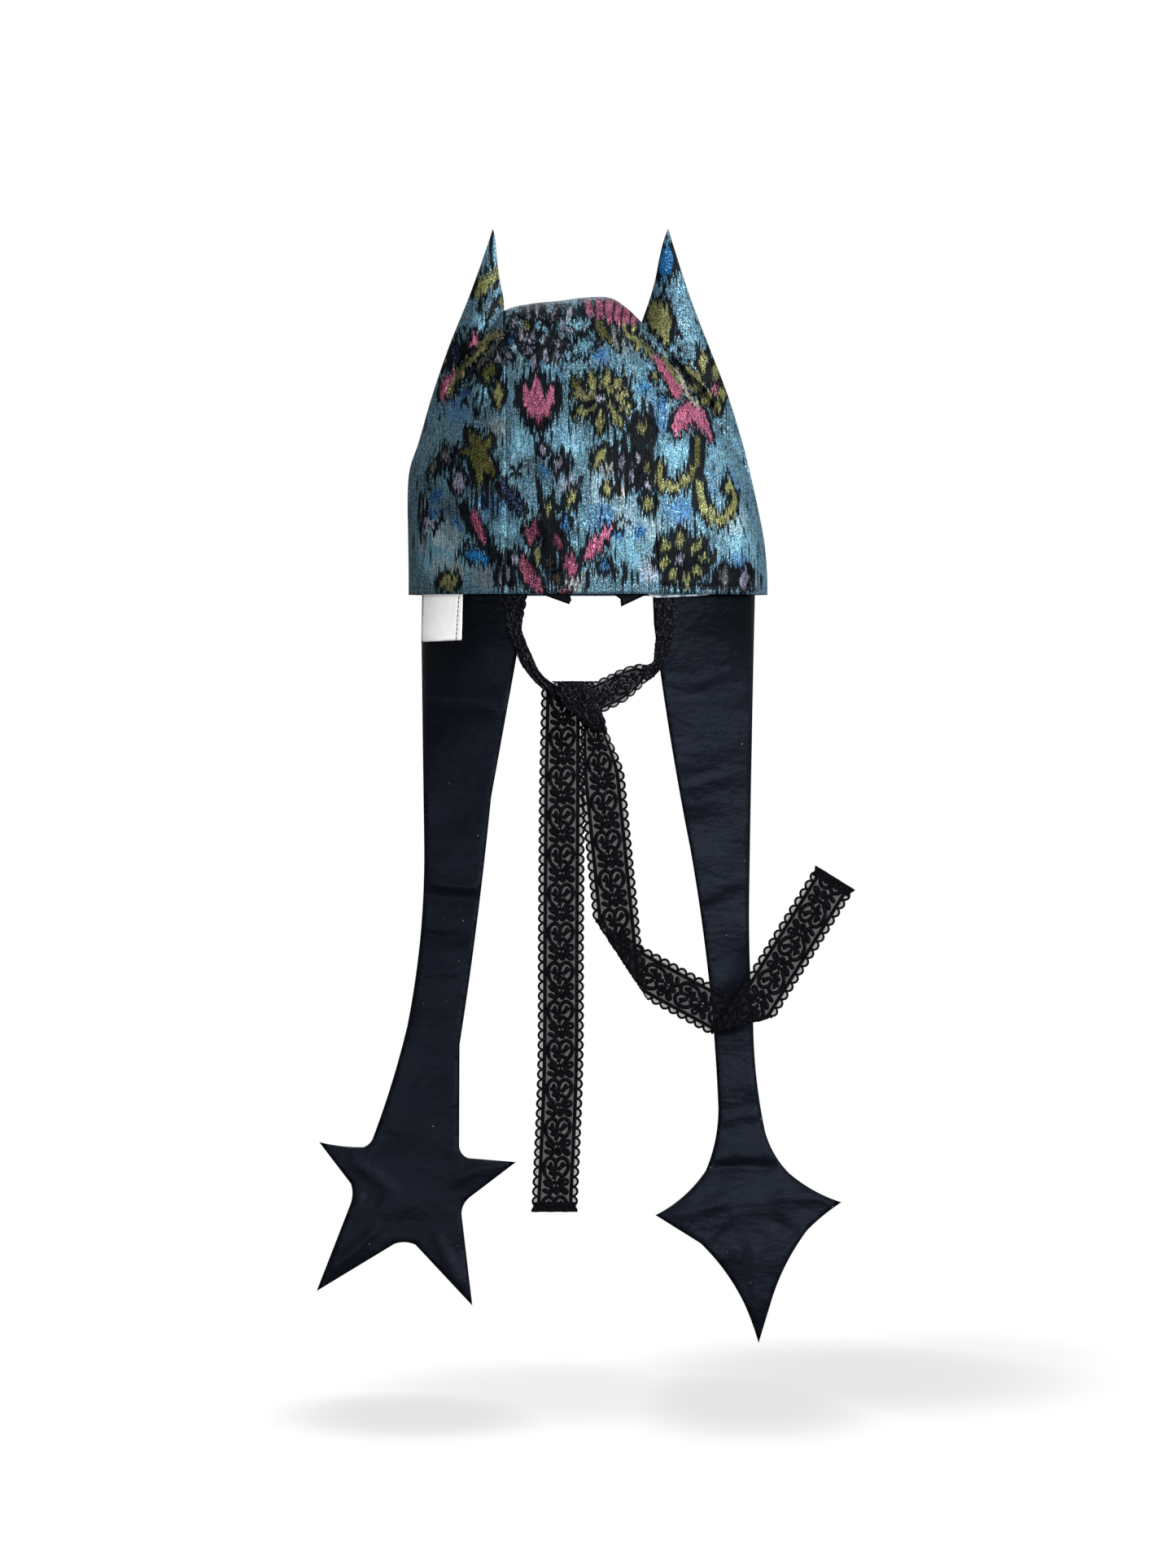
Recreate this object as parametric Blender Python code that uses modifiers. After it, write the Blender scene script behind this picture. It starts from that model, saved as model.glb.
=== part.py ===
"""Horned bonnet: printed crown with two hollow ears, star-ended sateen tails and knotted lace ties.

Metres, +Z up, the face side looks along -Y, +X is at the right seen from the front.
The origin is the middle of the head opening, level with the hem.
"""
import math

import bmesh
import bpy
from mathutils import Vector
from mathutils.geometry import delaunay_2d_cdt

MM = 0.001
NAME = "bonnet"

# Driving dimensions, in millimetres
HEAD_HALF_WIDTH = 120.0
HEAD_HALF_DEPTH = 70.0
CROWN_TOP = 199.0
CLOTH = 2.0
LINING = 1.0
LACE = 1.2
TAIL_CLOTH = 2.4
LABEL_CLOTH = 1.0
LAYER_GAP = 0.4
SEAM_GAP = 0.3
TUCK = 9.0
LACE_WIDTH = 31.0

# Layers under the hem, as the distance of each one's middle in from the crown's outer face
LINING_IN = CLOTH + LAYER_GAP + LINING / 2
LACE_IN = LINING_IN + LINING / 2 + LAYER_GAP + LACE / 2
TAIL_IN = LACE_IN + LACE / 2 + LAYER_GAP + TAIL_CLOTH / 2

# Crown shape
RIM_STRAIGHT = 14.0
DOME_ROUNDNESS = 2.3
EAR_FULLNESS = 17.0
EAR_TIP_FULLNESS = 8.0
EAR_FULL_HEIGHT = 140.0
EAR_EDGE_SOFTNESS = 9.0
EAR_SOLID_TIP = 24.0
EAR_TAPER = 12.0
EAR_FADE = (60.0, 125.0)
BLEND_POWER = 4.0

# Outer edges of the crown seen from the front: height, then x at the left and at the right
SIDE_EDGES = (
    # height, left, right
    (0.0, -120.0, 120.0),
    (14.0, -120.0, 119.8),
    (36.0, -120.3, 117.8),
    (69.0, -120.6, 111.3),
    (85.0, -119.0, 107.5),
    (101.0, -113.6, 103.5),
    (134.0, -104.0, 93.3),
    (166.5, -92.8, 80.8),
    (199.0, -79.7, 68.3),
    (232.0, -67.8, 57.6),
    (245.0, -63.6, 53.6),
)

# Inner edges of the ears: height, then x of the edge nearer the middle
LEFT_EAR_INNER = (
    # height, x
    (190.0, -56.0),
    (199.0, -56.6),
    (208.0, -58.6),
    (222.0, -60.6),
    (239.0, -62.2),
    (245.0, -63.6),
)
RIGHT_EAR_INNER = (
    # height, x
    (182.3, 35.8),
    (197.5, 41.1),
    (211.0, 44.9),
    (224.7, 47.6),
    (237.0, 50.6),
    (245.0, 53.6),
)

# Outline of the dome alone, as height over x: the crown's top, then the shoulder folds below the ears
DOME_OUTLINE = (
    # x, height
    (-121.0, 40.0),
    (-118.5, 85.0),
    (-112.0, 104.0),
    (-101.5, 124.0),
    (-93.0, 138.0),
    (-83.5, 155.0),
    (-74.0, 170.0),
    (-65.0, 181.0),
    (-56.0, 190.0),
    (-41.0, 194.3),
    (-16.6, 197.0),
    (-1.0, CROWN_TOP),
    (15.5, 198.4),
    (27.5, 190.5),
    (35.8, 182.3),
    (43.8, 174.0),
    (52.0, 164.0),
    (61.0, 152.0),
    (70.0, 140.0),
    (80.0, 126.0),
    (88.0, 113.0),
    (99.0, 97.0),
    (107.0, 81.0),
    (113.0, 62.0),
    (121.0, 34.0),
)

# Panel seams: height, then x of the left seam and of the right seam
PANEL_SEAMS = (
    # height, left, right
    (0.0, -53.1, 47.6),
    (48.0, -54.2, 44.9),
    (97.0, -54.8, 45.8),
    (145.0, -55.0, 46.2),
    (170.0, -55.5, 41.0),
    (182.3, -55.8, 35.8),
    (190.0, -56.0, 35.8),
)

# Main folds of the crown: a valley from one point to the other, its width, and its depth as a share
CROWN_FOLDS = (
    # x0, z0, x1, z1, width, depth
    (-58.0, 172.0, -96.0, 124.0, 5.0, 0.10),
    (-66.0, 158.0, -100.0, 108.0, 6.0, 0.07),
    (38.0, 168.0, 84.0, 116.0, 5.0, 0.11),
    (50.0, 172.0, 76.0, 146.0, 4.5, 0.14),
    (-78.0, 196.0, -60.0, 210.0, 5.0, 0.12),
    (-30.0, 178.0, 12.0, 150.0, 9.0, 0.03),
    (-110.0, 70.0, -84.0, 20.0, 9.0, 0.05),
    (104.0, 62.0, 86.0, 14.0, 9.0, 0.05),
)

FOLD_FADE = (18.0, 45.0)

# Tails: outlines, each row a point and how far the arc to the next one is drawn into the cloth
LEFT_TAIL = (
    # x, z, rise
    (-40.0, TUCK, 0.0),
    (-110.7, TUCK, 0.0),
    (-111.3, -27.0, 0.0),
    (-109.2, -168.0, 3.1),
    (-120.5, -288.0, 1.2),
    (-143.0, -361.5, 1.2),
    (-149.5, -368.5, 1.0),
    (-179.3, -365.2, 0.0),
    (-158.0, -393.0, 1.2),
    (-158.5, -407.0, 0.0),
    (-181.0, -464.7, 0.0),
    (-129.0, -433.0, 1.4),
    (-115.0, -433.5, 0.0),
    (-77.0, -474.0, 0.0),
    (-84.2, -413.0, 1.4),
    (-79.0, -402.0, 0.0),
    (-47.9, -378.2, 0.0),
    (-80.0, -375.6, 1.4),
    (-85.8, -368.0, 0.0),
    (-85.5, -300.0, -1.2),
    (-64.5, -135.5, 0.0),
    (-48.7, -48.4, -0.4),
)
RIGHT_TAIL = (
    # x, z, rise
    (111.8, TUCK, 0.0),
    (42.7, TUCK, 0.0),
    (43.8, -20.0, -1.3),
    (67.8, -168.0, 3.0),
    (86.8, -342.0, 2.2),
    (78.5, -384.0, 2.9),
    (44.9, -413.6, 0.0),
    (75.0, -432.5, 2.2),
    (104.2, -473.0, 0.5),
    (113.7, -499.3, 0.0),
    (121.6, -473.0, 2.5),
    (146.0, -424.0, 0.8),
    (169.0, -405.4, 2.0),
    (134.1, -386.0, 2.1),
    (118.0, -358.0, 1.7),
    (110.2, -288.0, 1.0),
    (107.5, -200.0, 0.3),
)
TAIL_MESH = 15.0
TAIL_RELAX = 150.0

# How each tail hangs: middle x, its depth there, outward slope near the hem and at the star
TAIL_HANG = {
    "left": {"middle": -80.0, "depth": -46.0, "slope": -0.30, "star_slope": -0.12},
    "right": {"middle": 80.0, "depth": -43.0, "slope": 0.30, "star_slope": 0.10},
}

# Bends of the tails: where, how long and how far forward, for each side
TAIL_BENDS = (
    # side, z, length, forward
    ("left", -74.0, 9.0, 1.0),
    ("left", -193.0, 8.0, 1.2),
    ("left", -228.0, 7.0, -1.0),
    ("left", -400.0, 40.0, 3.5),
    ("right", -110.0, 30.0, 1.6),
    ("right", -383.0, 7.0, -1.8),
    ("right", -430.0, 40.0, 4.0),
)

# Ties: gathered stretches from the hem to the knot, each row a section of the ribbon
LEFT_LOOP = (
    # x, z, width, thickness
    (-48.4, TUCK, 17.0, LACE),
    (-48.4, -3.0, 17.0, LACE),
    (-49.0, -13.6, 14.0, 1.4),
    (-48.7, -24.0, 10.0, 2.0),
    (-45.4, -33.0, 9.2, 2.4),
    (-41.4, -43.0, 9.6, 2.6),
    (-35.6, -53.0, 7.6, 3.0),
    (-28.0, -60.6, 7.4, 3.2),
    (-18.0, -67.0, 8.0, 3.2),
)
RIGHT_LOOP = (
    # x, z, width, thickness
    (51.6, TUCK, 16.5, LACE),
    (51.6, -3.3, 16.5, LACE),
    (52.0, -17.4, 14.7, 1.4),
    (50.3, -30.0, 11.6, 2.0),
    (47.8, -39.4, 8.2, 2.8),
    (44.8, -46.8, 6.2, 3.2),
    (40.0, -51.6, 9.0, 2.6),
    (34.0, -54.2, 14.5, 2.0),
    (27.6, -57.0, 20.5, 1.6),
    (18.8, -62.4, 24.0, 1.6),
    (4.0, -70.0, 23.0, 1.6),
)
LOOP_DEPTH_AT_KNOT = -61.0

# Knot
KNOT_CENTRE = (-9.0, -62.0, -75.5)
KNOT_HALF = (18.5, 6.8, 17.0)
KNOT_SQUARENESS = 2.7
KNOT_CLEARANCE = 0.4
KNOT_WRAP = 0.12

# Hanging ends of the ties
STRAIGHT_DEPTH = -54.2
STRAIGHT_END = (
    # x, z
    (-18.6, -63.0),
    (-18.0, -120.0),
    (-18.0, -230.0),
    (-18.6, -320.0),
    (-22.4, -411.4),
)
FOLDED_START = (7.0, -80.0)
FOLDED_HEADING = -84.3
FOLDED_DEPTH = -52.2
FOLDED_LENGTH = 374.0
FOLDED_RADIUS = 1.0
FOLDED_GATHER = (0.5, 45.0)
FOLDS = (
    # distance along the ribbon, angle of the crease to it, towards the front
    (161.0, 27.9, -1.0),
    (255.0, -43.3, -1.0),
)

# Label, and the two corners of black facing that show under the hem
LABEL = {"left": -110.2, "right": -83.0, "bottom": -31.8}
RIM_TABS = {
    # name: points under the hem, x and z
    "rim_tab_left": ((-30.5, -0.5), (-12.6, -7.0), (-11.0, -4.2), (-12.0, -0.5)),
    "rim_tab_right": ((17.2, -0.5), (21.5, -3.5), (21.9, -8.6), (39.0, -0.5)),
}

# Lining band inside the hem, and how far it shows below it
LINING_TOP = 14.0
LINING_BOTTOM = 1.0
LINING_PEEK = (
    # x, z of the front edge
    (38.0, LINING_BOTTOM),
    (40.5, -0.6),
    (44.0, -2.4),
    (60.0, -1.9),
    (78.0, -0.8),
    (84.0, LINING_BOTTOM),
)

# Mesh counts
SIDE_COLUMNS = 13
BAND_COLUMNS = 10
CROWN_ROWS = 17
LINING_SIDES = 72
LOOP_SIDES = 8

# Finishes: colour, roughness and metallic value
FINISHES = {
    "printed_lurex": ((0.16, 0.30, 0.38, 1.0), 0.45, 0.35),
    "plaid_lining": ((0.30, 0.34, 0.40, 1.0), 0.75, 0.0),
    "sateen": ((0.012, 0.015, 0.022, 1.0), 0.42, 0.0),
    "lace": ((0.015, 0.016, 0.020, 1.0), 0.70, 0.0),
    "label_cloth": ((0.86, 0.86, 0.84, 1.0), 0.55, 0.0),
}


def mix(a, b, share):
    return a + (b - a) * share


def smooth(low, high, value):
    share = min(1.0, max(0.0, (value - low) / (high - low)))
    return share * share * (3.0 - 2.0 * share)


def curve_value(table, key, column=1):
    """A smooth curve through a table's rows, read at key; the rows are sorted by their first column."""
    last = len(table) - 1
    if key <= table[0][0]:
        return table[0][column]
    if key >= table[last][0]:
        return table[last][column]
    row = max(i for i in range(last) if table[i][0] <= key)
    x0, x1 = table[row][0], table[row + 1][0]
    y0, y1 = table[row][column], table[row + 1][column]

    def slope(i):
        before, after = max(0, i - 1), min(last, i + 1)
        return (table[after][column] - table[before][column]) / (table[after][0] - table[before][0])

    t, span = (key - x0) / (x1 - x0), x1 - x0
    return ((2 * t ** 3 - 3 * t ** 2 + 1) * y0 + (t ** 3 - 2 * t ** 2 + t) * span * slope(row)
            + (3 * t ** 2 - 2 * t ** 3) * y1 + (t ** 3 - t ** 2) * span * slope(row + 1))


def side_edge(side, height):
    return curve_value(SIDE_EDGES, height, 1 if side < 0 else 2)


def ear_inner_table(side):
    return LEFT_EAR_INNER if side < 0 else RIGHT_EAR_INNER


def seam_edge(side, height):
    return curve_value(PANEL_SEAMS, height, 1 if side < 0 else 2)


def soft_max(a, b):
    """The larger of two depths, with a rounded valley where they meet."""
    return (a ** BLEND_POWER + b ** BLEND_POWER) ** (1.0 / BLEND_POWER)


def ear_edges(side, height, inset):
    """The x of an ear's outer and inner edge at a height, drawn in by inset and closed at its tip."""
    table = ear_inner_table(side)
    outer, inner = side_edge(side, height), curve_value(table, height)
    if inset == 0.0:
        return outer, inner
    outer -= side * inset
    inner += side * inset * smooth(0.0, EAR_TAPER, height - table[0][0] + inset)
    tip = table[-1][0] - EAR_SOLID_TIP
    taper = math.sqrt(max(0.0, min(1.0, (tip - height) / EAR_TAPER)))
    middle = (outer + inner) / 2
    return mix(middle, outer, taper), mix(middle, inner, taper)


def crown_depth(x, height, inset=0.0):
    """How far the crown stands in front of, and behind, its middle plane at a point of its outline."""
    side = -1.0 if x < 0.0 else 1.0
    edge = abs(side_edge(side, height)) - inset
    across = max(0.0, 1.0 - (x / edge) ** 2)
    top = curve_value(DOME_OUTLINE, x) - inset
    climb = max(0.0, height - RIM_STRAIGHT) / (top - RIM_STRAIGHT)
    upward = max(0.0, 1.0 - climb ** DOME_ROUNDNESS)
    dome = (HEAD_HALF_DEPTH - inset) * math.sqrt(across * upward)

    foot = ear_inner_table(side)[0][0] - inset
    if height > foot:
        outer, inner = ear_edges(side, height, inset)
        from_inner = max(0.0, side * (x - inner))
    else:
        outer = side * edge
        from_inner = foot - height + max(0.0, side * (x - seam_edge(side, height)))
    from_outer = max(0.0, side * (outer - x))
    share = smooth(EAR_FULL_HEIGHT, ear_inner_table(side)[-1][0], height)
    fullness = mix(EAR_FULLNESS, EAR_TIP_FULLNESS, share) - inset
    fullness *= smooth(EAR_FADE[0], EAR_FADE[1], height)
    ear = fullness * (1.0 - math.exp(-from_outer / EAR_EDGE_SOFTNESS))
    ear *= 1.0 - math.exp(-from_inner / EAR_EDGE_SOFTNESS)
    return soft_max(dome, ear) * fold_share(x, height)


def fold_share(x, height):
    """What the main folds leave of the crown's depth at a point; they fade out above the hem."""
    share = 1.0
    for x0, z0, x1, z1, width, depth in CROWN_FOLDS:
        run_x, run_z = x1 - x0, z1 - z0
        length = math.hypot(run_x, run_z)
        along = ((x - x0) * run_x + (height - z0) * run_z) / length ** 2
        off = ((x - x0) * run_z - (height - z0) * run_x) / length
        ends = smooth(-0.25, 0.2, along) * smooth(-0.25, 0.2, 1.0 - along)
        share -= depth * ends * math.exp(-(off / width) ** 2) * smooth(*FOLD_FADE, height)
    return share


def coons(bottom, top, near, far, u, v):
    """A point of the patch between four edges that share their corners."""
    point = []
    for axis in (0, 1):
        rows = mix(bottom(u)[axis], top(u)[axis], v)
        columns = mix(near(v)[axis], far(v)[axis], u)
        corners = mix(mix(near(0)[axis], far(0)[axis], u), mix(near(1)[axis], far(1)[axis], u), v)
        point.append(rows + columns - corners)
    return point


def side_point(side, inset, u, v):
    """Outline place of a side panel: u from its seam to the outer edge, v from the hem to the ear."""
    gap = side * SEAM_GAP / 2
    table = ear_inner_table(side)
    foot = table[0][0] - inset
    tip = table[-1][0] - (EAR_SOLID_TIP if inset else 0.0)
    start = math.asin(abs(seam_edge(side, 0.0)) / HEAD_HALF_WIDTH)

    def bottom(t):
        angle = mix(start, math.pi / 2, t)
        share = (math.sin(angle) - math.sin(start)) / (1.0 - math.sin(start))
        return mix(seam_edge(side, 0.0) + gap, side_edge(side, 0.0) - side * inset, share), 0.0

    def top(t):
        height = mix(foot, tip, t)
        return ear_edges(side, height, inset)[1] + gap * (1.0 - t), height

    def near(t):
        height = foot * math.sin(t * math.pi / 2)
        edge = mix(seam_edge(side, height), top(0.0)[0] - gap, smooth(0.9, 1.0, t))
        return edge + gap, height

    def far(t):
        height = tip * t
        if height > foot:
            return ear_edges(side, height, inset)[0], height
        return side_edge(side, height) - side * inset, height

    return coons(bottom, top, near, far, u, v)


def band_point(inset, u, v):
    """Outline place of the middle band: u from its left seam to its right one, v from hem to top."""
    def bottom(t):
        return mix(seam_edge(-1, 0.0) + SEAM_GAP / 2, seam_edge(1, 0.0) - SEAM_GAP / 2, t), 0.0

    def top(t):
        x = mix(LEFT_EAR_INNER[0][1] + SEAM_GAP / 2, RIGHT_EAR_INNER[0][1] - SEAM_GAP / 2, t)
        return x, curve_value(DOME_OUTLINE, x) - inset

    def near(t):
        height = (LEFT_EAR_INNER[0][0] - inset) * math.sin(t * math.pi / 2)
        return seam_edge(-1, height) + SEAM_GAP / 2, height

    def far(t):
        height = (RIGHT_EAR_INNER[0][0] - inset) * math.sin(t * math.pi / 2)
        return seam_edge(1, height) - SEAM_GAP / 2, height

    return coons(bottom, top, near, far, u, v)


def add_object(name, mesh, finish):
    mesh.materials.append(MATERIALS[finish])
    item = bpy.data.objects.new(name, mesh)
    PARTS.objects.link(item)
    return item


def mesh_from(name, points, faces):
    """A mesh in metres from points in millimetres, with all its faces turned the same way, outwards."""
    mesh = bpy.data.meshes.new(name)
    mesh.from_pydata([Vector(p) * MM for p in points], [], faces)
    shape = bmesh.new()
    shape.from_mesh(mesh)
    bmesh.ops.recalc_face_normals(shape, faces=shape.faces)
    if shape.calc_volume(signed=True) < 0.0:
        bmesh.ops.reverse_faces(shape, faces=shape.faces)
    shape.to_mesh(mesh)
    shape.free()
    return mesh


def build_crown_panel(name, place, columns, far_joined):
    """A cloth panel of the crown: its front runs over the top edge into its back, with a real wall."""
    points, index, faces = [], {}, []

    def vertex(layer, face, i, j):
        shared = j == CROWN_ROWS or (far_joined and i == columns)
        key = (layer, 0 if shared else face, i, j)
        if key not in index:
            inset = CLOTH * layer
            x, z = place(inset, i / columns, j / CROWN_ROWS)
            depth = 0.0 if shared else crown_depth(x, z, inset)
            index[key] = len(points)
            points.append((x, -face * depth, z))
        return index[key]

    for layer in (0, 1):
        for face in (1, -1):
            for i in range(columns):
                for j in range(CROWN_ROWS):
                    corners = [vertex(layer, face, a, b)
                               for a, b in ((i, j), (i + 1, j), (i + 1, j + 1), (i, j + 1))]
                    faces.append(corners)
    for face in (1, -1):
        for i in range(columns):
            faces.append([vertex(layer, face, a, 0) for layer, a in ((0, i), (0, i + 1), (1, i + 1), (1, i))])
        for edge in ((0,) if far_joined else (0, columns)):
            for j in range(CROWN_ROWS):
                faces.append([vertex(layer, face, edge, b)
                              for layer, b in ((0, j), (0, j + 1), (1, j + 1), (1, j))])
    return add_object(name, mesh_from(name, points, faces), "printed_lurex")


def rim_point(angle, inward):
    """A point at hem level, at an angle from +X, so far in from the crown's outer face."""
    return ((HEAD_HALF_WIDTH - inward) * math.cos(angle), (HEAD_HALF_DEPTH - inward) * math.sin(angle))


def rim_depth(x, inward):
    """The y of the front of the rim at x, so far in from the crown's outer face."""
    return -(HEAD_HALF_DEPTH - inward) * math.sqrt(max(0.0, 1.0 - (x / (HEAD_HALF_WIDTH - inward)) ** 2))


def build_lining():
    """The plaid band inside the hem, which shows below it at the right of the front."""
    points, faces = [], []
    for step in range(LINING_SIDES):
        angle = 2 * math.pi * step / LINING_SIDES
        for inward in (LINING_IN - LINING / 2, LINING_IN + LINING / 2):
            x, y = rim_point(angle, inward)
            low = curve_value(LINING_PEEK, x) if y < 0 else LINING_BOTTOM
            points += [(x, y, low), (x, y, LINING_TOP)]
    for step in range(LINING_SIDES):
        a, b = 4 * step, 4 * ((step + 1) % LINING_SIDES)
        faces += [(a, b, b + 1, a + 1), (b + 2, a + 2, a + 3, b + 3),
                  (a + 1, b + 1, b + 3, a + 3), (b, a, a + 2, b + 2)]
    return add_object("lining_band", mesh_from("lining_band", points, faces), "plaid_lining")


def arc_outline(table, spacing):
    """The points of a closed outline, whose rows hold x, z and the rise of the arc to the next row."""
    outline = []
    for row, (x0, z0, rise) in enumerate(table):
        x1, z1 = table[(row + 1) % len(table)][:2]
        length = math.hypot(x1 - x0, z1 - z0)
        steps = max(1, round(length / spacing))
        for step in range(steps):
            t = step / steps
            lift = 4 * rise * t * (1 - t)
            outline.append((mix(x0, x1, t) - lift * (z1 - z0) / length,
                            mix(z0, z1, t) + lift * (x1 - x0) / length))
    return outline


def inside(outline, x, z, margin):
    """Whether a point lies in an outline, at least margin from its edge."""
    count, near = False, math.inf
    for (x0, z0), (x1, z1) in zip(outline, outline[1:] + outline[:1]):
        if (z0 > z) != (z1 > z) and x < x0 + (z - z0) * (x1 - x0) / (z1 - z0):
            count = not count
        length = (x1 - x0) ** 2 + (z1 - z0) ** 2
        t = min(1.0, max(0.0, ((x - x0) * (x1 - x0) + (z - z0) * (z1 - z0)) / length))
        near = min(near, math.hypot(x - mix(x0, x1, t), z - mix(z0, z1, t)))
    return count and near > margin


def tail_depth(side, x, z):
    """The y of a tail's middle layer: on the rim's curve at the hem, and flatter further down."""
    hang = TAIL_HANG[side]
    slope = mix(hang["slope"], hang["star_slope"], smooth(80.0, 400.0, -z))
    flat = hang["depth"] + slope * (x - hang["middle"])
    depth = mix(rim_depth(x, TAIL_IN), flat, smooth(2.0, TAIL_RELAX, -z))
    for bend_side, height, length, forward in TAIL_BENDS:
        if bend_side == side:
            depth -= forward * math.exp(-((z - height) / length) ** 2)
    return depth


def flat_sheet(name, outline, spacing, depth, thickness, finish):
    """A sheet of cloth with an outline seen from the front, bent by a depth function of x and z."""
    points = [Vector(p) for p in outline]
    edges = [(i, (i + 1) % len(points)) for i in range(len(points))]
    low_x, high_x = min(p.x for p in points), max(p.x for p in points)
    low_z, high_z = min(p.y for p in points), max(p.y for p in points)
    row, z = 0, low_z + spacing / 2
    while z < high_z:
        x = low_x + spacing / 4 * (1 + row % 2)
        while x < high_x:
            if inside(outline, x, z, spacing * 0.45):
                points.append(Vector((x, z)))
            x += spacing
        row, z = row + 1, z + spacing
    found = delaunay_2d_cdt(points, edges, [], 1, 0.001)
    mesh = mesh_from(name, [(p.x, depth(p.x, p.y), p.y) for p in found[0]], found[2])
    item = add_object(name, mesh, finish)
    wall = item.modifiers.new("thickness", "SOLIDIFY")
    wall.thickness, wall.offset, wall.use_even_offset = thickness * MM, 0.0, True
    return item


def in_front(depth, x, z, distance):
    """The y of a layer that lies so far in front of a bent sheet, measured square to the sheet."""
    step = 0.5
    slope_x = (depth(x + step, z) - depth(x - step, z)) / (2 * step)
    slope_z = (depth(x, z + step) - depth(x, z - step)) / (2 * step)
    return depth(x, z) - distance * math.sqrt(1.0 + slope_x ** 2 + slope_z ** 2)


def build_tail(side, table):
    outline = arc_outline(table, TAIL_MESH)
    return flat_sheet("tail_" + side, outline, TAIL_MESH, lambda x, z: tail_depth(side, x, z),
                      TAIL_CLOTH, "sateen")


def build_label():
    """The folded label over the top of the left tail."""
    outline = arc_outline(((LABEL["left"], TUCK, 0.0), (LABEL["left"] - 1.2, LABEL["bottom"], 0.0),
                           (LABEL["right"] - 1.2, LABEL["bottom"] + 1.0, 0.0),
                           (LABEL["right"], TUCK, 0.0)), 7.0)
    forward = TAIL_CLOTH / 2 + LAYER_GAP + LABEL_CLOTH / 2
    def over_tail(x, z):
        return in_front(lambda a, b: tail_depth("left", a, b), x, z, forward)

    return flat_sheet("label", outline, 8.0, over_tail, LABEL_CLOTH, "label_cloth")


def build_rim_tab(name):
    """A corner of black facing that shows under the front of the hem."""
    low = RIM_TABS[name]
    outline = [(low[0][0] - 1.0, TUCK), *low, (low[-1][0] + 1.0, TUCK)]
    return flat_sheet(name, outline, 6.0, lambda x, z: rim_depth(x, LACE_IN), LACE, "sateen")


def build_loop(name, table):
    """A gathered tie from the hem to the knot, lofted through flat eight-sided sections."""
    last = len(table) - 1
    points, faces = [], []
    for row, (x, z, width, thickness) in enumerate(table):
        before, after = table[max(0, row - 1)], table[min(last, row + 1)]
        run = Vector((after[0] - before[0], after[1] - before[1])).normalized()
        share = smooth(0.0, -50.0, z)
        for corner in range(LOOP_SIDES):
            angle = 2 * math.pi * (corner + 0.5) / LOOP_SIDES
            across = math.copysign(abs(math.cos(angle)) ** 0.6, math.cos(angle)) * width / 2
            forward = math.copysign(abs(math.sin(angle)) ** 0.4, math.sin(angle)) * thickness / 2
            px, pz = x - run.y * across, z + run.x * across
            py = mix(rim_depth(px, LACE_IN), LOOP_DEPTH_AT_KNOT, share)
            points.append((px, py + forward, pz))
    for row in range(last):
        for corner in range(LOOP_SIDES):
            a = row * LOOP_SIDES + corner
            b = row * LOOP_SIDES + (corner + 1) % LOOP_SIDES
            faces.append((a, b, b + LOOP_SIDES, a + LOOP_SIDES))
    faces.append(tuple(range(LOOP_SIDES)))
    faces.append(tuple(range(last * LOOP_SIDES, (last + 1) * LOOP_SIDES)))
    item = add_object(name, mesh_from(name, points, faces), "lace")
    cut = item.modifiers.new("clear_of_knot", "BOOLEAN")
    cut.operation, cut.object = "DIFFERENCE", CUTTERS.objects["knot_room"]
    return item


def knot_mesh(name, grow):
    """The rounded knot, with the wrapped ribbon standing proud from its upper left to its lower right."""
    shape = bmesh.new()
    bmesh.ops.create_uvsphere(shape, u_segments=20, v_segments=12, radius=1.0)
    for vertex in shape.verts:
        x, y, z = vertex.co
        norm = (abs(x) ** KNOT_SQUARENESS + abs(y) ** KNOT_SQUARENESS + abs(z) ** KNOT_SQUARENESS)
        size = norm ** (-1.0 / KNOT_SQUARENESS)
        off_wrap = (x + z) / math.sqrt(2.0) * size
        size *= 1.0 - KNOT_WRAP * smooth(0.45, 0.75, abs(off_wrap))
        half = [length + grow for length in KNOT_HALF]
        vertex.co = [(c + v * size * h) * MM for c, v, h in zip(KNOT_CENTRE, (x, y, z), half)]
    mesh = bpy.data.meshes.new(name)
    shape.to_mesh(mesh)
    shape.free()
    return mesh


def lace_strip(name, rows, place):
    """A ribbon from rows of cross lines, each its distance and how far it leans along the ribbon."""
    points, faces = [], []
    across = (-0.5, 0.0, 0.5)
    for distance, lean in rows:
        for share in across:
            w = share * LACE_WIDTH
            points.append(place(distance + lean * w, w))
    for row in range(len(rows) - 1):
        for column in range(len(across) - 1):
            a = row * len(across) + column
            faces.append((a, a + 1, a + 1 + len(across), a + len(across)))
    item = add_object(name, mesh_from(name, points, faces), "lace")
    wall = item.modifiers.new("thickness", "SOLIDIFY")
    wall.thickness, wall.offset, wall.use_even_offset = LACE * MM, 0.0, True
    return item


def straight_place(distance, w):
    """A point of the straight end, which hangs down from behind the knot."""
    z = STRAIGHT_END[0][1] - distance
    table = [(-height, x) for x, height in STRAIGHT_END]
    x = curve_value(table, -z) + w
    wave = 0.7 * math.sin(z / 31.0) * smooth(100.0, 200.0, -z) + 0.4 * math.sin((z + 2 * w) / 17.0)
    return x, STRAIGHT_DEPTH + wave * smooth(95.0, 130.0, -z), z


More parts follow.
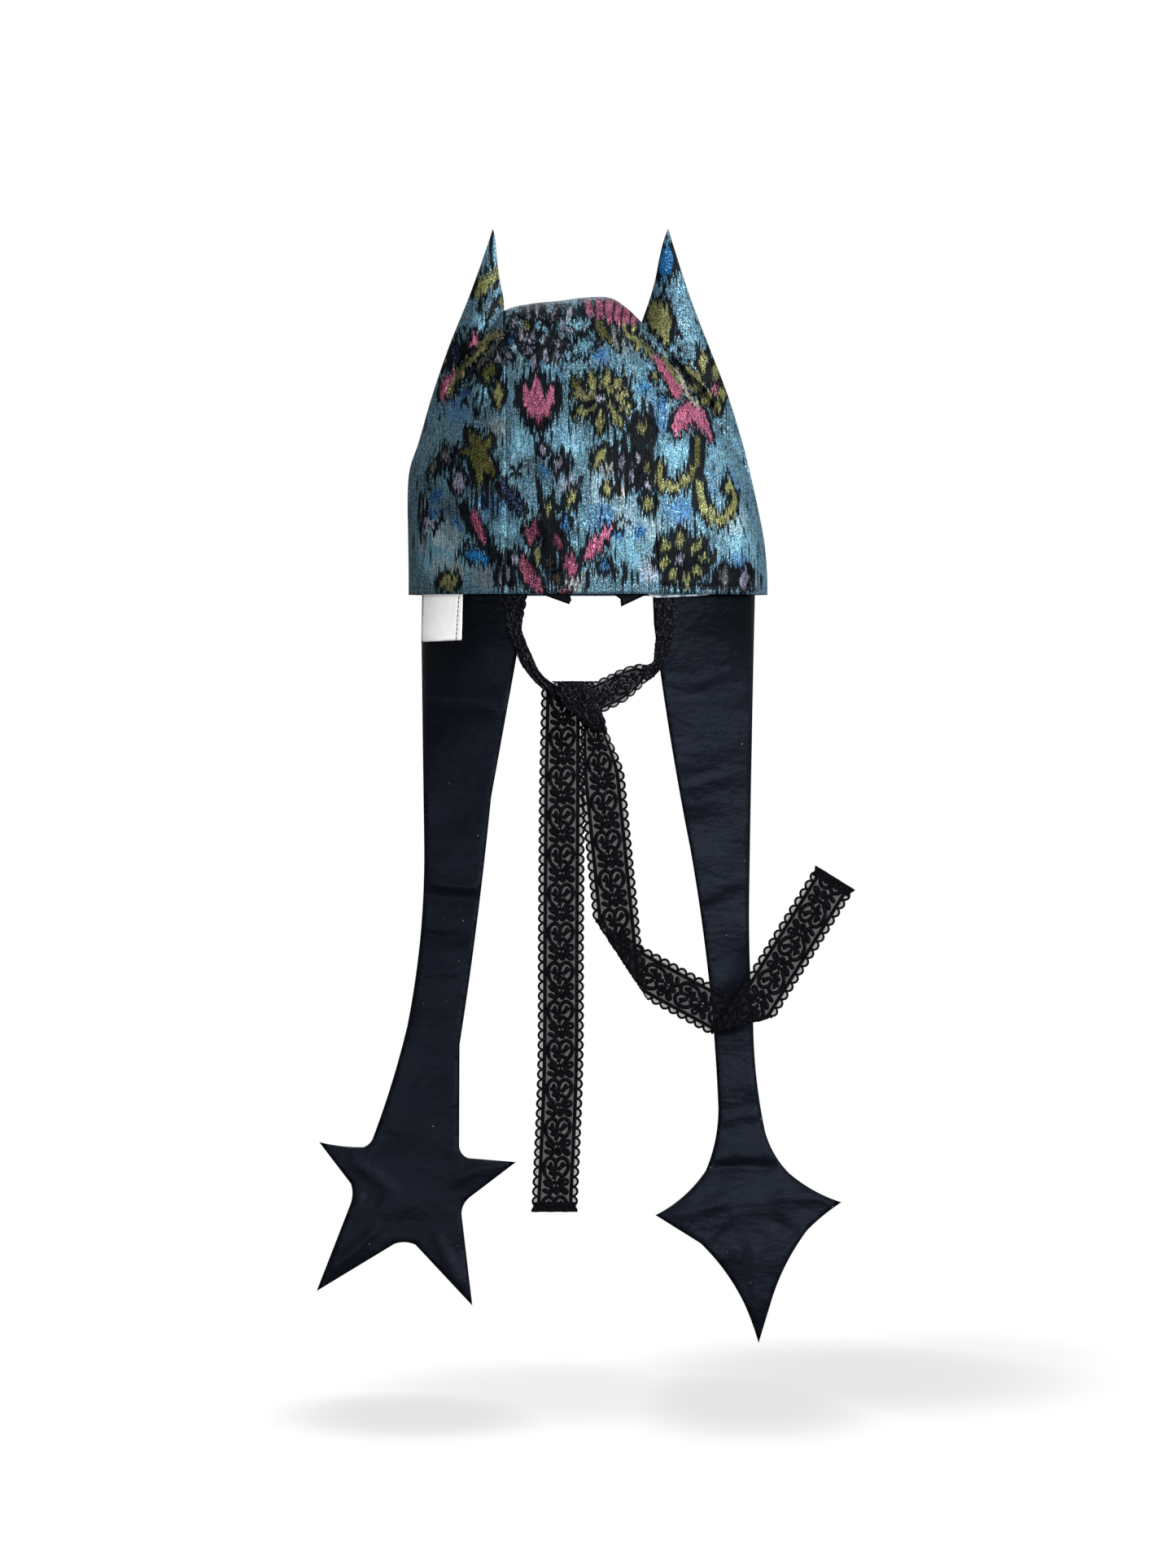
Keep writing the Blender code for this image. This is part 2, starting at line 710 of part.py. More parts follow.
def folded_place(distance, w):
    """A point of the folded end: a flat ribbon turned over at each crease on a small round edge."""
    s, across, lift = distance, w, 0.0
    for crease, angle, side in reversed(FOLDS):
        turn = math.radians(angle)
        beyond = (distance - crease) * abs(math.sin(turn)) - w * math.copysign(math.cos(turn), angle)
        if beyond <= 0.0:
            continue
        normal = (abs(math.sin(turn)), -math.copysign(math.cos(turn), angle))
        along = (s - crease) * normal[0] + across * normal[1]
        half_turn = math.pi * FOLDED_RADIUS
        if beyond < half_turn:
            moved = FOLDED_RADIUS * math.sin(beyond / FOLDED_RADIUS)
            lift = side * FOLDED_RADIUS * (1.0 - math.cos(beyond / FOLDED_RADIUS))
        else:
            moved = half_turn - along
            lift = 2.0 * side * FOLDED_RADIUS - lift
        s += (moved - along) * normal[0]
        across += (moved - along) * normal[1]
    if distance < FOLDED_GATHER[1]:
        across *= mix(FOLDED_GATHER[0], 1.0, smooth(0.0, FOLDED_GATHER[1], distance))
    heading = math.radians(FOLDED_HEADING)
    x = FOLDED_START[0] + s * math.cos(heading) - across * math.sin(heading)
    z = FOLDED_START[1] + s * math.sin(heading) + across * math.cos(heading)
    back = -1.9 * (1.0 - smooth(0.0, 30.0, distance))
    wave = 0.6 * math.sin(x / 19.0 + z / 43.0) * smooth(40.0, 90.0, distance)
    return x, FOLDED_DEPTH + back + wave - lift, z


def folded_rows():
    """Cross lines of the folded end, leaning so that those at a crease lie along it."""
    rows, previous = [(0.0, 0.0)], (0.0, 0.0)
    for crease, angle, _ in FOLDS:
        lean = 1.0 / math.tan(math.radians(angle))
        rows += spread_rows(previous, (crease, lean), 16.0)
        half_turn = math.pi * FOLDED_RADIUS / abs(math.sin(math.radians(angle)))
        rows += [(crease + half_turn * step / 6, lean) for step in range(1, 7)]
        previous = rows[-1]
    return rows + spread_rows(previous, (FOLDED_LENGTH, 0.0), 16.0)


def spread_rows(start, end, spacing):
    steps = math.ceil((end[0] - start[0]) / spacing)
    return [tuple(mix(a, b, step / steps) for a, b in zip(start, end)) for step in range(1, steps + 1)]


def make_finish(name, colour, roughness, metallic):
    material = bpy.data.materials.new(name)
    material.use_nodes = True
    surface = material.node_tree.nodes["Principled BSDF"]
    surface.inputs["Base Color"].default_value = colour
    surface.inputs["Roughness"].default_value = roughness
    surface.inputs["Metallic"].default_value = metallic
    return material


def new_collection(name):
    collection = bpy.data.collections.new(name)
    bpy.context.scene.collection.children.link(collection)
    return collection


for old in list(bpy.data.objects):
    bpy.data.objects.remove(old, do_unlink=True)

PARTS = new_collection(NAME)
CUTTERS = new_collection(NAME + "_cutters")
MATERIALS = {name: make_finish(name, *values) for name, values in FINISHES.items()}

# Crown
build_crown_panel("crown_band", band_point, BAND_COLUMNS, False)
for label, side in (("left", -1), ("right", 1)):
    build_crown_panel("crown_side_" + label,
                      lambda inset, u, v, side=side: side_point(side, inset, u, v), SIDE_COLUMNS, True)
build_lining()

# Tails and what shows at the hem
build_tail("left", LEFT_TAIL)
build_tail("right", RIGHT_TAIL)
build_label()
for tab in RIM_TABS:
    build_rim_tab(tab)

# Ties
knot_room = bpy.data.objects.new("knot_room", knot_mesh("knot_room", KNOT_CLEARANCE))
knot_room.hide_render, knot_room.display_type = True, "WIRE"
CUTTERS.objects.link(knot_room)
add_object("tie_knot", knot_mesh("tie_knot", 0.0), "lace")
build_loop("tie_loop_left", LEFT_LOOP)
build_loop("tie_loop_right", RIGHT_LOOP)
straight_length = STRAIGHT_END[0][1] - STRAIGHT_END[-1][1]
lace_strip("tie_end_straight", [(0.0, 0.0)] + spread_rows((0.0, 0.0), (straight_length, 0.0), 12.0),
           straight_place)
lace_strip("tie_end_folded", folded_rows(), folded_place)
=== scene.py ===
"""Looks of the horned bonnet: printed crown, plaid lining, sateen tails and gathered lace ties.

Sizes are in millimetres until a mesh is written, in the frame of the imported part: +Z up, the face
side looks along -Y, and the origin is the middle of the head opening, level with the hem.
"""
import logging
import math
from contextlib import contextmanager
from dataclasses import dataclass, field
from enum import Enum
from functools import lru_cache
from typing import Any, Callable, Iterator, Sequence

import bpy
import numpy as np
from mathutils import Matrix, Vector, noise
from mathutils.geometry import delaunay_2d_cdt


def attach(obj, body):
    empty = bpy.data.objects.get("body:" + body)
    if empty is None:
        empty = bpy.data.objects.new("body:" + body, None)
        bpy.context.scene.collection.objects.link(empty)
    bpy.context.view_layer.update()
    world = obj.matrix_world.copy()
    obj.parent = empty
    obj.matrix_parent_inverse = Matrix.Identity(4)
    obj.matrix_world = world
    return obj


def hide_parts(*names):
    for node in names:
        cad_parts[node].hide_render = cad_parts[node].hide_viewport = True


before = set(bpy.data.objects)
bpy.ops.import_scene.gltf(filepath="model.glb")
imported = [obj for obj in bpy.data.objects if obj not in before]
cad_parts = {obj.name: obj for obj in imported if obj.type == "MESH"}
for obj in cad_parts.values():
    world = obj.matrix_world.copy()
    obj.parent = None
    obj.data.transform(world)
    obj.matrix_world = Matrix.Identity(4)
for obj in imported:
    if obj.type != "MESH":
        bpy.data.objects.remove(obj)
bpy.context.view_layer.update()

LOG = logging.getLogger("bonnet")
MM = 0.001
BODY = "root"
Point = tuple[float, float, float]
Flat = tuple[float, float]
Table = Sequence[Sequence[float]]

# Driving dimensions, as in the solid model
HEAD_HALF_WIDTH = 120.0
HEAD_HALF_DEPTH = 70.0
RIM_LENGTH = 2 * math.pi * math.hypot(HEAD_HALF_WIDTH, HEAD_HALF_DEPTH) / math.sqrt(2)
CROWN_TOP = 199.0
DOME_ROUNDNESS = 2.3
CLOTH = 2.0
TUCK = 9.0
LACE_WIDTH = 31.0
LINING_IN = 2.9
LACE_IN = 4.4
TAIL_IN = 6.6


def mix(a: float, b: float, share: float) -> float:
    """Return the value that lies at share of the way from a to b."""
    return a + (b - a) * share


def smooth(low: float, high: float, value: float) -> float:
    """Return 0 below low, 1 above high and a soft step between them."""
    share = min(1.0, max(0.0, (value - low) / (high - low)))
    return share * share * (3.0 - 2.0 * share)


def curve_value(table: Table, key: float, column: int = 1) -> float:
    """Read a smooth curve through the rows of a table.

    Args:
        table: Rows sorted by their first column.
        key: Where the curve is read, in the units of the first column.
        column: Which column holds the values.

    Returns:
        The curve's value at key.
    """
    last = len(table) - 1
    if key <= table[0][0]:
        return table[0][column]
    if key >= table[last][0]:
        return table[last][column]
    row = max(i for i in range(last) if table[i][0] <= key)
    x0, x1 = table[row][0], table[row + 1][0]

    def slope(i: int) -> float:
        """Return the curve's slope at a row."""
        before, after = max(0, i - 1), min(last, i + 1)
        return (table[after][column] - table[before][column]) / (table[after][0] - table[before][0])

    t, span = (key - x0) / (x1 - x0), x1 - x0
    return ((2 * t ** 3 - 3 * t ** 2 + 1) * table[row][column]
            + (t ** 3 - 2 * t ** 2 + t) * span * slope(row)
            + (3 * t ** 2 - 2 * t ** 3) * table[row + 1][column] + (t ** 3 - t ** 2) * span * slope(row + 1))


def ripple(x: float, y: float, z: float, size: float) -> float:
    """Return a smooth wandering value of about -1 to 1, with waves of a size in millimetres."""
    return 2.0 * noise.noise(Vector((x, y, z)) / size)


def waves(x: np.ndarray, z: np.ndarray, size: float) -> np.ndarray:
    """Give smooth wandering values at many points.

    Args:
        x: Places across, in millimetres.
        z: Heights.
        size: How long the waves are.

    Returns:
        Values of about -1 to 1.
    """
    turn = 2 * math.pi / size
    first = np.sin(turn * (0.83 * x + 0.41 * z) + 1.7 * np.sin(turn * 0.37 * (z - 0.6 * x)))
    second = np.sin(turn * (0.29 * x - 0.71 * z) + 2.1 * np.sin(turn * 0.43 * (x + 0.3 * z)) + 1.3)
    third = np.sin(turn * (0.57 * x + 0.93 * z) + 1.9 * np.sin(turn * 0.31 * (x - z)) + 4.1)
    return (first + second + third) / 2.2


def run_reach(x: np.ndarray, z: np.ndarray, start: Flat, end: Flat) -> tuple[np.ndarray, np.ndarray]:
    """Measure how far many points lie from a straight run.

    Args:
        x: Places across, in millimetres.
        z: Heights.
        start: Where the run starts.
        end: Where it ends.

    Returns:
        The distances, and how far along the run the nearest place is, 0 to 1.
    """
    (x0, z0), (x1, z1) = start, end
    square = max(1e-9, (x1 - x0) ** 2 + (z1 - z0) ** 2)
    along = np.clip(((x - x0) * (x1 - x0) + (z - z0) * (z1 - z0)) / square, 0.0, 1.0)
    return np.hypot(x - (x0 + (x1 - x0) * along), z - (z0 + (z1 - z0) * along)), along


def chain_reach(x: np.ndarray, z: np.ndarray, points: Sequence[Flat]) -> tuple[np.ndarray, np.ndarray]:
    """Measure how far many points lie from a chain of straight runs.

    Args:
        x: Places across, in millimetres.
        z: Heights.
        points: The chain's corners.

    Returns:
        The distances, and how far along the chain the nearest place is, 0 to 1.
    """
    best, share = np.full(x.shape, 1e6), np.zeros(x.shape)
    for run, ends in enumerate(zip(points, points[1:])):
        gap, along = run_reach(x, z, *ends)
        nearer = gap < best
        best[nearer], share[nearer] = gap[nearer], (run + along[nearer]) / (len(points) - 1)
    return best, share


def beside(x: float, z: float, line: Sequence[float]) -> Flat:
    """Place a point beside a line.

    Args:
        x: The point's place across.
        z: Its height.
        line: The line's x0, z0, x1 and z1.

    Returns:
        How far along the line the point lies, as a share, and how far off it.
    """
    x0, z0, x1, z1 = line
    run_x, run_z = x1 - x0, z1 - z0
    length = math.hypot(run_x, run_z)
    along = ((x - x0) * run_x + (z - z0) * run_z) / length ** 2
    return along, ((x - x0) * run_z - (z - z0) * run_x) / length


def srgb(red: float, green: float, blue: float) -> tuple[float, float, float, float]:
    """Turn a colour of 0 to 255 per channel into the linear values that a shader takes."""
    linear = [c / 255 / 12.92 if c <= 10 else ((c / 255 + 0.055) / 1.055) ** 2.4 for c in (red, green, blue)]
    return (linear[0], linear[1], linear[2], 1.0)


# Shader maths


class Wire:
    """A shader socket that takes part in Python expressions."""

    def __init__(self, graph: "Graph", socket: bpy.types.NodeSocket) -> None:
        """Keep the socket and the graph that its nodes are added to."""
        self.graph = graph
        self.socket = socket

    def _join(self, operation: str, *values: Any) -> "Wire":
        """Add a Math node on values, in order."""
        return self.graph.node("ShaderNodeMath", {"operation": operation}, dict(enumerate(values)))

    def __add__(self, other: Any) -> "Wire":
        """Add."""
        return self._join("ADD", self, other)

    def __radd__(self, other: Any) -> "Wire":
        """Add, reflected."""
        return self._join("ADD", other, self)

    def __sub__(self, other: Any) -> "Wire":
        """Subtract."""
        return self._join("SUBTRACT", self, other)

    def __rsub__(self, other: Any) -> "Wire":
        """Subtract, reflected."""
        return self._join("SUBTRACT", other, self)

    def __mul__(self, other: Any) -> "Wire":
        """Multiply."""
        return self._join("MULTIPLY", self, other)

    def __rmul__(self, other: Any) -> "Wire":
        """Multiply, reflected."""
        return self._join("MULTIPLY", other, self)

    def wave(self, period: float) -> "Wire":
        """Return the sine that has a period in the wire's own units."""
        return self._join("SINE", self * (2 * math.pi / period))

    def larger(self, other: Any) -> "Wire":
        """Return the larger of two values."""
        return self._join("MAXIMUM", self, other)

    def band(self, low: float, high: float, start: float = 0.0, end: float = 1.0) -> "Wire":
        """Return a soft step from start at low to end at high."""
        return self.graph.node("ShaderNodeMapRange", {"interpolation_type": "SMOOTHSTEP"},
                               {0: self, 1: low, 2: high, 3: start, 4: end})


class Graph:
    """The node tree of one material, built around its Principled shader."""

    def __init__(self, name: str) -> None:
        """Start a material with a name and keep its shader."""
        self.material = bpy.data.materials.new(name)
        self.material.use_nodes = True
        self.nodes = self.material.node_tree.nodes
        self.links = self.material.node_tree.links
        self.shader = self.nodes["Principled BSDF"]

    def node(self, kind: str, settings: dict[str, Any] | None = None,
             inputs: dict[Any, Any] | None = None, output: Any = 0) -> Wire:
        """Add a node.

        Args:
            kind: The node's type.
            settings: Properties that are set first.
            inputs: Values or wires for the sockets, by name or index.
            output: Which of its outputs is returned.

        Returns:
            The wire of that output.
        """
        made = self.nodes.new(kind)
        for key, value in (settings or {}).items():
            setattr(made, key, value)
        for key, value in (inputs or {}).items():
            self.feed(made.inputs[key], value)
        return Wire(self, made.outputs[output])

    def feed(self, socket: bpy.types.NodeSocket, value: Any) -> None:
        """Link a wire to a socket, or set its value."""
        if isinstance(value, Wire):
            self.links.new(value.socket, socket)
        elif socket.type == "VECTOR":
            socket.default_value = value[:3]
        else:
            socket.default_value = value

    def place(self) -> Wire:
        """Return the object coordinates, in metres."""
        return self.node("ShaderNodeTexCoord", output="Object")

    def attribute(self, name: str, output: str = "Fac") -> Wire:
        """Return a named attribute of the mesh."""
        return self.node("ShaderNodeAttribute", {"attribute_name": name}, output=output)

    def axes(self, vector: Wire) -> tuple[Wire, ...]:
        """Split a vector into its three values."""
        split = self.node("ShaderNodeSeparateXYZ", inputs={0: vector}).socket.node
        return tuple(Wire(self, output) for output in split.outputs)

    def grain(self, vector: Wire, size: Sequence[float], detail: float = 2.0, offset: float = 0.0) -> Wire:
        """Add noise.

        Args:
            vector: Coordinates in metres.
            size: How large its features are along each axis, in millimetres.
            detail: How many finer layers it has.
            offset: Moves the pattern, so that two of them differ.

        Returns:
            Values around 0.5.
        """
        scaled = self.node("ShaderNodeVectorMath", {"operation": "MULTIPLY_ADD"},
                           {0: vector, 1: tuple(1 / (s * MM) for s in size), 2: (offset, offset, offset)})
        return self.node("ShaderNodeTexNoise", inputs={"Vector": scaled, "Scale": 1.0, "Detail": detail})

    def blend(self, share: Any, first: Any, second: Any) -> Wire:
        """Mix two colours by a share."""
        return self.node("ShaderNodeMix", {"data_type": "RGBA"}, {0: share, 6: first, 7: second}, 2)

    def dim(self, colour: Any, value: Any) -> Wire:
        """Scale a colour by a value."""
        return self.node("ShaderNodeVectorMath", {"operation": "SCALE"}, {0: colour, "Scale": value})

    def bump(self, height: Wire, depth: float, under: Wire | None = None) -> Wire:
        """Turn a height into a normal.

        Args:
            height: The height, as a share.
            depth: How high it is at 1, in millimetres.
            under: The normal that it is laid over.

        Returns:
            The bumped normal.
        """
        inputs: dict[Any, Any] = {"Height": height, "Distance": depth * MM, "Strength": 1.0}
        if under is not None:
            inputs["Normal"] = under
        return self.node("ShaderNodeBump", inputs=inputs)

    def dress(self, **sockets: Any) -> bpy.types.Material:
        """Feed the shader's sockets, named with underscores, and return the material."""
        for name, value in sockets.items():
            self.feed(self.shader.inputs[name.replace("_", " ")], value)
        return self.material


# Finishes


class Dye(Enum):
    """The dyes of the printed warp, as they look in full light, and one dark teal that is painted shade."""

    INK = (9, 11, 17)
    NAVY = (16, 30, 66)
    VIVID = (26, 116, 180)
    BLUE = (44, 104, 158)
    SKY = (112, 168, 190)
    PALE = (144, 174, 184)
    OLIVE = (138, 140, 84)
    MOSS = (92, 92, 34)
    STRAW = (146, 140, 62)
    KHAKI = (136, 134, 88)
    BROWN = (88, 76, 52)
    PINK = (190, 100, 134)
    MAGENTA = (156, 74, 104)
    LILAC = (158, 160, 182)
    GREY = (112, 120, 118)
    # not a dye: a dark teal painted where the folds on the left of the crown are shaded
    DUSK = (26, 44, 50)
    SHIMMER = (150, 178, 182)
    TAN = (152, 150, 138)
    CREAM = (196, 196, 178)


@dataclass(frozen=True)
class PrintedLurex:
    """Warp-printed cloth with metal threads: feathered motifs on a glittering teal ground."""

    name: str = "printed_lurex_cloth"
    ground: tuple[int, int, int] = (94, 142, 162)
    light: tuple[int, int, int] = (110, 158, 176)
    deep: tuple[int, int, int] = (62, 112, 152)
    shade: tuple[int, int, int] = (92, 122, 130)
    tan: tuple[int, int, int] = (148, 144, 128)
    azure: tuple[int, int, int] = (46, 108, 176)
    thread: float = 0.5
    streak: float = 1.0
    feather: float = 1.5
    comb: float = 26.0
    haze: float = 0.235
    depth: float = 0.46
    roughness: float = 0.46

    def material(self) -> bpy.types.Material:
        """Build the material from the mesh's print attributes and object coordinates."""
        graph = Graph(self.name)
        place = graph.place()
        thread = graph.grain(place, (self.thread, self.thread * 3, 9.0), 2.0)
        yarn = graph.grain(place, (self.thread * 1.6, self.thread * 4, 26.0), 1.0, 7.3)
        spark = graph.grain(place, (0.85, 0.85, 0.95), 1.0, 3.1)
        cloud = graph.grain(place, (24.0, 24.0, 17.0), 3.0, 1.7)
        drift = graph.grain(place, (17.0, 17.0, 26.0), 2.0, 12.9)
        comb = (graph.grain(place, (self.streak, self.streak * 3, 40.0), 1.0, 4.4) - 0.5) * self.comb
        dash = graph.grain(place, (1.5, 4.0, 22.0), 0.5, 21.0)
        fleck = graph.grain(place, (1.1, 1.1, 0.9), 1.0, 31.0)
        wander = (thread - 0.5) * self.feather

        colour = graph.blend((cloud + (yarn - 0.5) * 0.5).band(0.44, 0.70) * 0.7,
                             srgb(*self.ground), srgb(*self.light))
        colour = graph.blend((drift + (thread - 0.5) * 0.5).band(0.54, 0.72) * 0.6, colour, srgb(*self.deep))
        colour = graph.blend((cloud + (thread - 0.5) * 0.6).band(0.46, 0.28) * 0.6, colour, srgb(*self.shade))
        # tints of the ground: most are the print's own, and the dark teal ones are painted shade
        tint = graph.attribute("print_tint", "Color")
        tint_share = graph.attribute("print_tint_share") + (yarn - 0.5) * 1.1
        pastel = tint_share.band(0.2, 1.0)
        colour = graph.blend(pastel * 0.85, colour, tint)
        shimmer = graph.grain(place, (7.0, 7.0, 1.4), 2.0, 17.0) + (thread - 0.5) * 0.3
        colour = graph.blend(shimmer.band(0.54, 0.72) * 0.45, colour, srgb(*Dye.SHIMMER.value))
        colour = graph.blend(fleck.band(0.56, 0.70) * 0.55, colour, srgb(*self.tan))
        colour = graph.blend(fleck.band(0.44, 0.30) * 0.55, colour, srgb(*self.azure))
        ink_edge = graph.attribute("print_ink") + graph.attribute("print_ink_slope") * comb
        ink_mask = (ink_edge + wander).band(0.6, -0.6)
        colour = graph.blend(ink_mask * 0.97, colour, srgb(*Dye.INK.value))
        fill_edge = graph.attribute("print_fill") + graph.attribute("print_fill_slope") * comb * 0.75
        fill_mask = (fill_edge + wander).band(0.6, -0.6)
        colour = graph.blend(fill_mask, colour, graph.attribute("print_dye", "Color"))
        haze = graph.attribute("print_haze")
        hazed = (dash + haze * self.haze + (thread - 0.5) * 0.3).band(0.65, 0.74) * (1.0 - fill_mask * 0.45)
        colour = graph.blend(hazed * 0.95, colour, srgb(*Dye.INK.value))
        streaks = (thread + yarn).band(0.96, 0.80) * 0.6
        colour = graph.blend(streaks, colour, srgb(16, 22, 30))
        dyed = 1.0 - (ink_mask * (1.0 - fill_mask)).larger(hazed) * 0.95

        # glints of the metal threads: these specks are made metallic, and their colour is also lightened and
        # paled, which is a painted highlight
        glint = spark.band(0.52, 0.70)
        dull = spark.band(0.50, 0.34)
        colour = graph.dim(colour, self.depth * (0.95 + pastel * 0.4 + glint * dyed * 1.4 - dull * 0.66))
        colour = graph.blend(glint * dyed * 0.18, colour, srgb(170, 188, 190))
        crinkle = graph.grain(place, (3.2, 3.2, 5.0), 3.0, 5.0)
        normal = graph.bump(crinkle, 0.22)
        normal = graph.bump(spark + thread, 0.16, normal)
        return graph.dress(Base_Color=colour, Metallic=(0.22 + glint * 0.5) * dyed,
                           Roughness=self.roughness + (crinkle - 0.5) * 0.3, Normal=normal,
                           Specular_IOR_Level=0.03)


@dataclass(frozen=True)
class PlaidLining:
    """Woven checks of black, white and blue-grey bands."""

    name: str = "plaid_lining_cloth"
    repeat: float = 12.0
    roughness: float = 0.78

    def material(self) -> bpy.types.Material:
        """Build the material from the piece's own cloth map, in decimetres."""
        graph = Graph(self.name)
        across, along, _ = graph.axes(graph.node("ShaderNodeUVMap", {"uv_map": "cloth"}))
        period = self.repeat / 100
        place = graph.place()
        colour: Any = srgb(176, 186, 196)
        for axis in (across, along):
            dark = axis.wave(period).band(0.45, 0.60)
            pale = (axis + period * 0.36).wave(period).band(0.88, 0.94)
            line = (axis + period * 0.11).wave(period).band(0.975, 0.99)
            colour = graph.blend(dark * 0.55, colour, srgb(20, 22, 28))
            colour = graph.blend(pale * 0.6, colour, srgb(236, 238, 238))
            colour = graph.blend(line * 0.6, colour, srgb(60, 96, 140))
        weave = across.wave(0.009) * along.wave(0.009)
        colour = graph.dim(colour, 0.94 + weave * 0.08)
        height = weave * 0.5 + graph.grain(place, (0.5, 0.5, 0.5), 2.0)
        return graph.dress(Base_Color=colour, Roughness=self.roughness, Normal=graph.bump(height, 0.12))


@dataclass(frozen=True)
class Sateen:
    """Near-black cotton sateen with a soft sheen, faint twill, a few specks of lint and a painted shadow
    towards the hem.
    """

    name: str = "sateen_cloth"
    colour: tuple[int, int, int] = (8, 10, 16)
    worn: tuple[int, int, int] = (14, 17, 25)
    roughness: float = 0.42

    def material(self) -> bpy.types.Material:
        """Build the material on object coordinates."""
        graph = Graph(self.name)
        place = graph.place()
        x, _, z = graph.axes(place)
        twill = (x * 1.7 + z).wave(0.9 * MM)
        yarn = graph.grain(place, (0.45, 0.45, 3.0), 2.0)
        cloud = graph.grain(place, (30.0, 30.0, 30.0), 3.0, 2.0)
        colour = graph.blend((yarn - 0.5) * 0.5 + cloud.band(0.35, 0.7) * 0.5,
                             srgb(*self.colour), srgb(*self.worn))
        lint = graph.node("ShaderNodeTexVoronoi", {"feature": "F1"},
                          {"Vector": graph.dim(place, 1 / (15.0 * MM)), "Scale": 1.0})
        colour = graph.blend(lint.band(0.035, 0.02) * 0.55, colour, srgb(150, 154, 162))
        # painted shadow: the colour darkens towards the hem, where the crown's hem shades the tails
        colour = graph.dim(colour, 1.0 - z.band(-60.0 * MM, -10.0 * MM) * 0.7)
        soft = graph.grain(place, (9.0, 9.0, 5.0), 3.0, 9.0)
        normal = graph.bump(soft, 0.9)
        normal = graph.bump(twill * 0.35 + yarn, 0.10, normal)
        return graph.dress(Base_Color=colour, Roughness=self.roughness + (yarn - 0.5) * 0.2, Normal=normal,
                           Specular_IOR_Level=0.075, Specular_Tint=srgb(200, 220, 255))


@dataclass(frozen=True)
class LaceThread:
    """Matt black lace yarn, with grey specks painted on as glints of light."""

    name: str = "lace_thread"
    colour: tuple[int, int, int] = (4, 4, 6)
    fluff: tuple[int, int, int] = (18, 19, 23)
    painted_glints: float = 0.08

    def material(self) -> bpy.types.Material:
        """Build the material on object coordinates."""
        graph = Graph(self.name)
        place = graph.place()
        fibre = graph.grain(place, (0.6, 0.6, 0.6), 3.0)
        colour = graph.blend(fibre.band(0.48, 0.80), srgb(*self.colour), srgb(*self.fluff))
        # painted glints: grey specks on the yarn, more of them on the gathered lace
        fleck = graph.grain(place, (0.9, 0.9, 1.4), 1.0, 6.0)
        colour = graph.blend(fleck.band(0.58, 0.70) * self.painted_glints, colour, srgb(84, 86, 100))
        return graph.dress(Base_Color=colour, Roughness=0.72 + (fibre - 0.5) * 0.2,
                           Normal=graph.bump(fibre, 0.18), Specular_IOR_Level=0.03)


@dataclass(frozen=True)
class LaceNet:
    """Sheer machine net between the worked threads, with grey specks painted on as glints of light."""

    name: str = "lace_net"
    opacity: float = 0.9
    scallop_drop: float = 0.26
    mesh: float = 0.9
    painted_glints: float = 0.1

    def material(self) -> bpy.types.Material:
        """Build the material from the piece's own lace map, in decimetres."""
        graph = Graph(self.name)
        across, along, _ = graph.axes(graph.node("ShaderNodeUVMap", {"uv_map": "cloth"}))
        period = self.mesh / 100
        one = (across + along * 0.6).wave(period)
        two = (across - along * 0.6).wave(period)
        strands = one.larger(two).band(0.2, 0.95)
        place = graph.place()
        cloud = graph.grain(place, (6.0, 6.0, 6.0), 2.0)
        scallop = (across * across).band(0.0126, 0.0142)
        alpha = self.opacity - 0.06 + strands * 0.12 + (cloud - 0.5) * 0.12 - scallop * self.scallop_drop
        colour = graph.blend(cloud.band(0.3, 0.7), srgb(10, 11, 14), srgb(20, 22, 26))
        # painted glints: grey specks on the net, more of them on the gathered lace
        fleck = graph.grain(place, (0.9, 0.9, 1.4), 1.0, 6.0)
        colour = graph.blend(fleck.band(0.58, 0.72) * self.painted_glints, colour, srgb(84, 86, 100))
        return graph.dress(Base_Color=colour, Roughness=0.8, Alpha=alpha,
                           Normal=graph.bump(strands, 0.05), Specular_IOR_Level=0.06)


@dataclass(frozen=True)
class LabelSatin:
    """White label satin with a fine rib."""

    name: str = "label_satin"

    def material(self) -> bpy.types.Material:
        """Build the material on object coordinates."""
        graph = Graph(self.name)
        place = graph.place()
        _, _, z = graph.axes(place)
        rib = z.wave(0.55 * MM)
        cloud = graph.grain(place, (7.0, 7.0, 7.0), 2.0)
        colour = graph.blend(cloud.band(0.35, 0.65), srgb(252, 252, 251), srgb(246, 246, 245))
        height = rib * 0.3 + graph.grain(place, (0.3, 0.3, 0.3), 1.0)
        return graph.dress(Base_Color=colour, Roughness=0.42 + rib * 0.04, Normal=graph.bump(height, 0.05))


@dataclass(frozen=True)
class SewingThread:
    """Twisted sewing thread in one colour."""

    name: str
    colour: tuple[int, int, int]

    def material(self) -> bpy.types.Material:
        """Build the material on object coordinates."""
        graph = Graph(self.name)
        place = graph.place()
        x, _, z = graph.axes(place)
        twist = (x + z * 0.8).wave(0.7 * MM)
        colour = graph.dim(srgb(*self.colour), 0.9 + twist * 0.15)
        return graph.dress(Base_Color=colour, Roughness=0.6 + twist * 0.05, Normal=graph.bump(twist, 0.06))


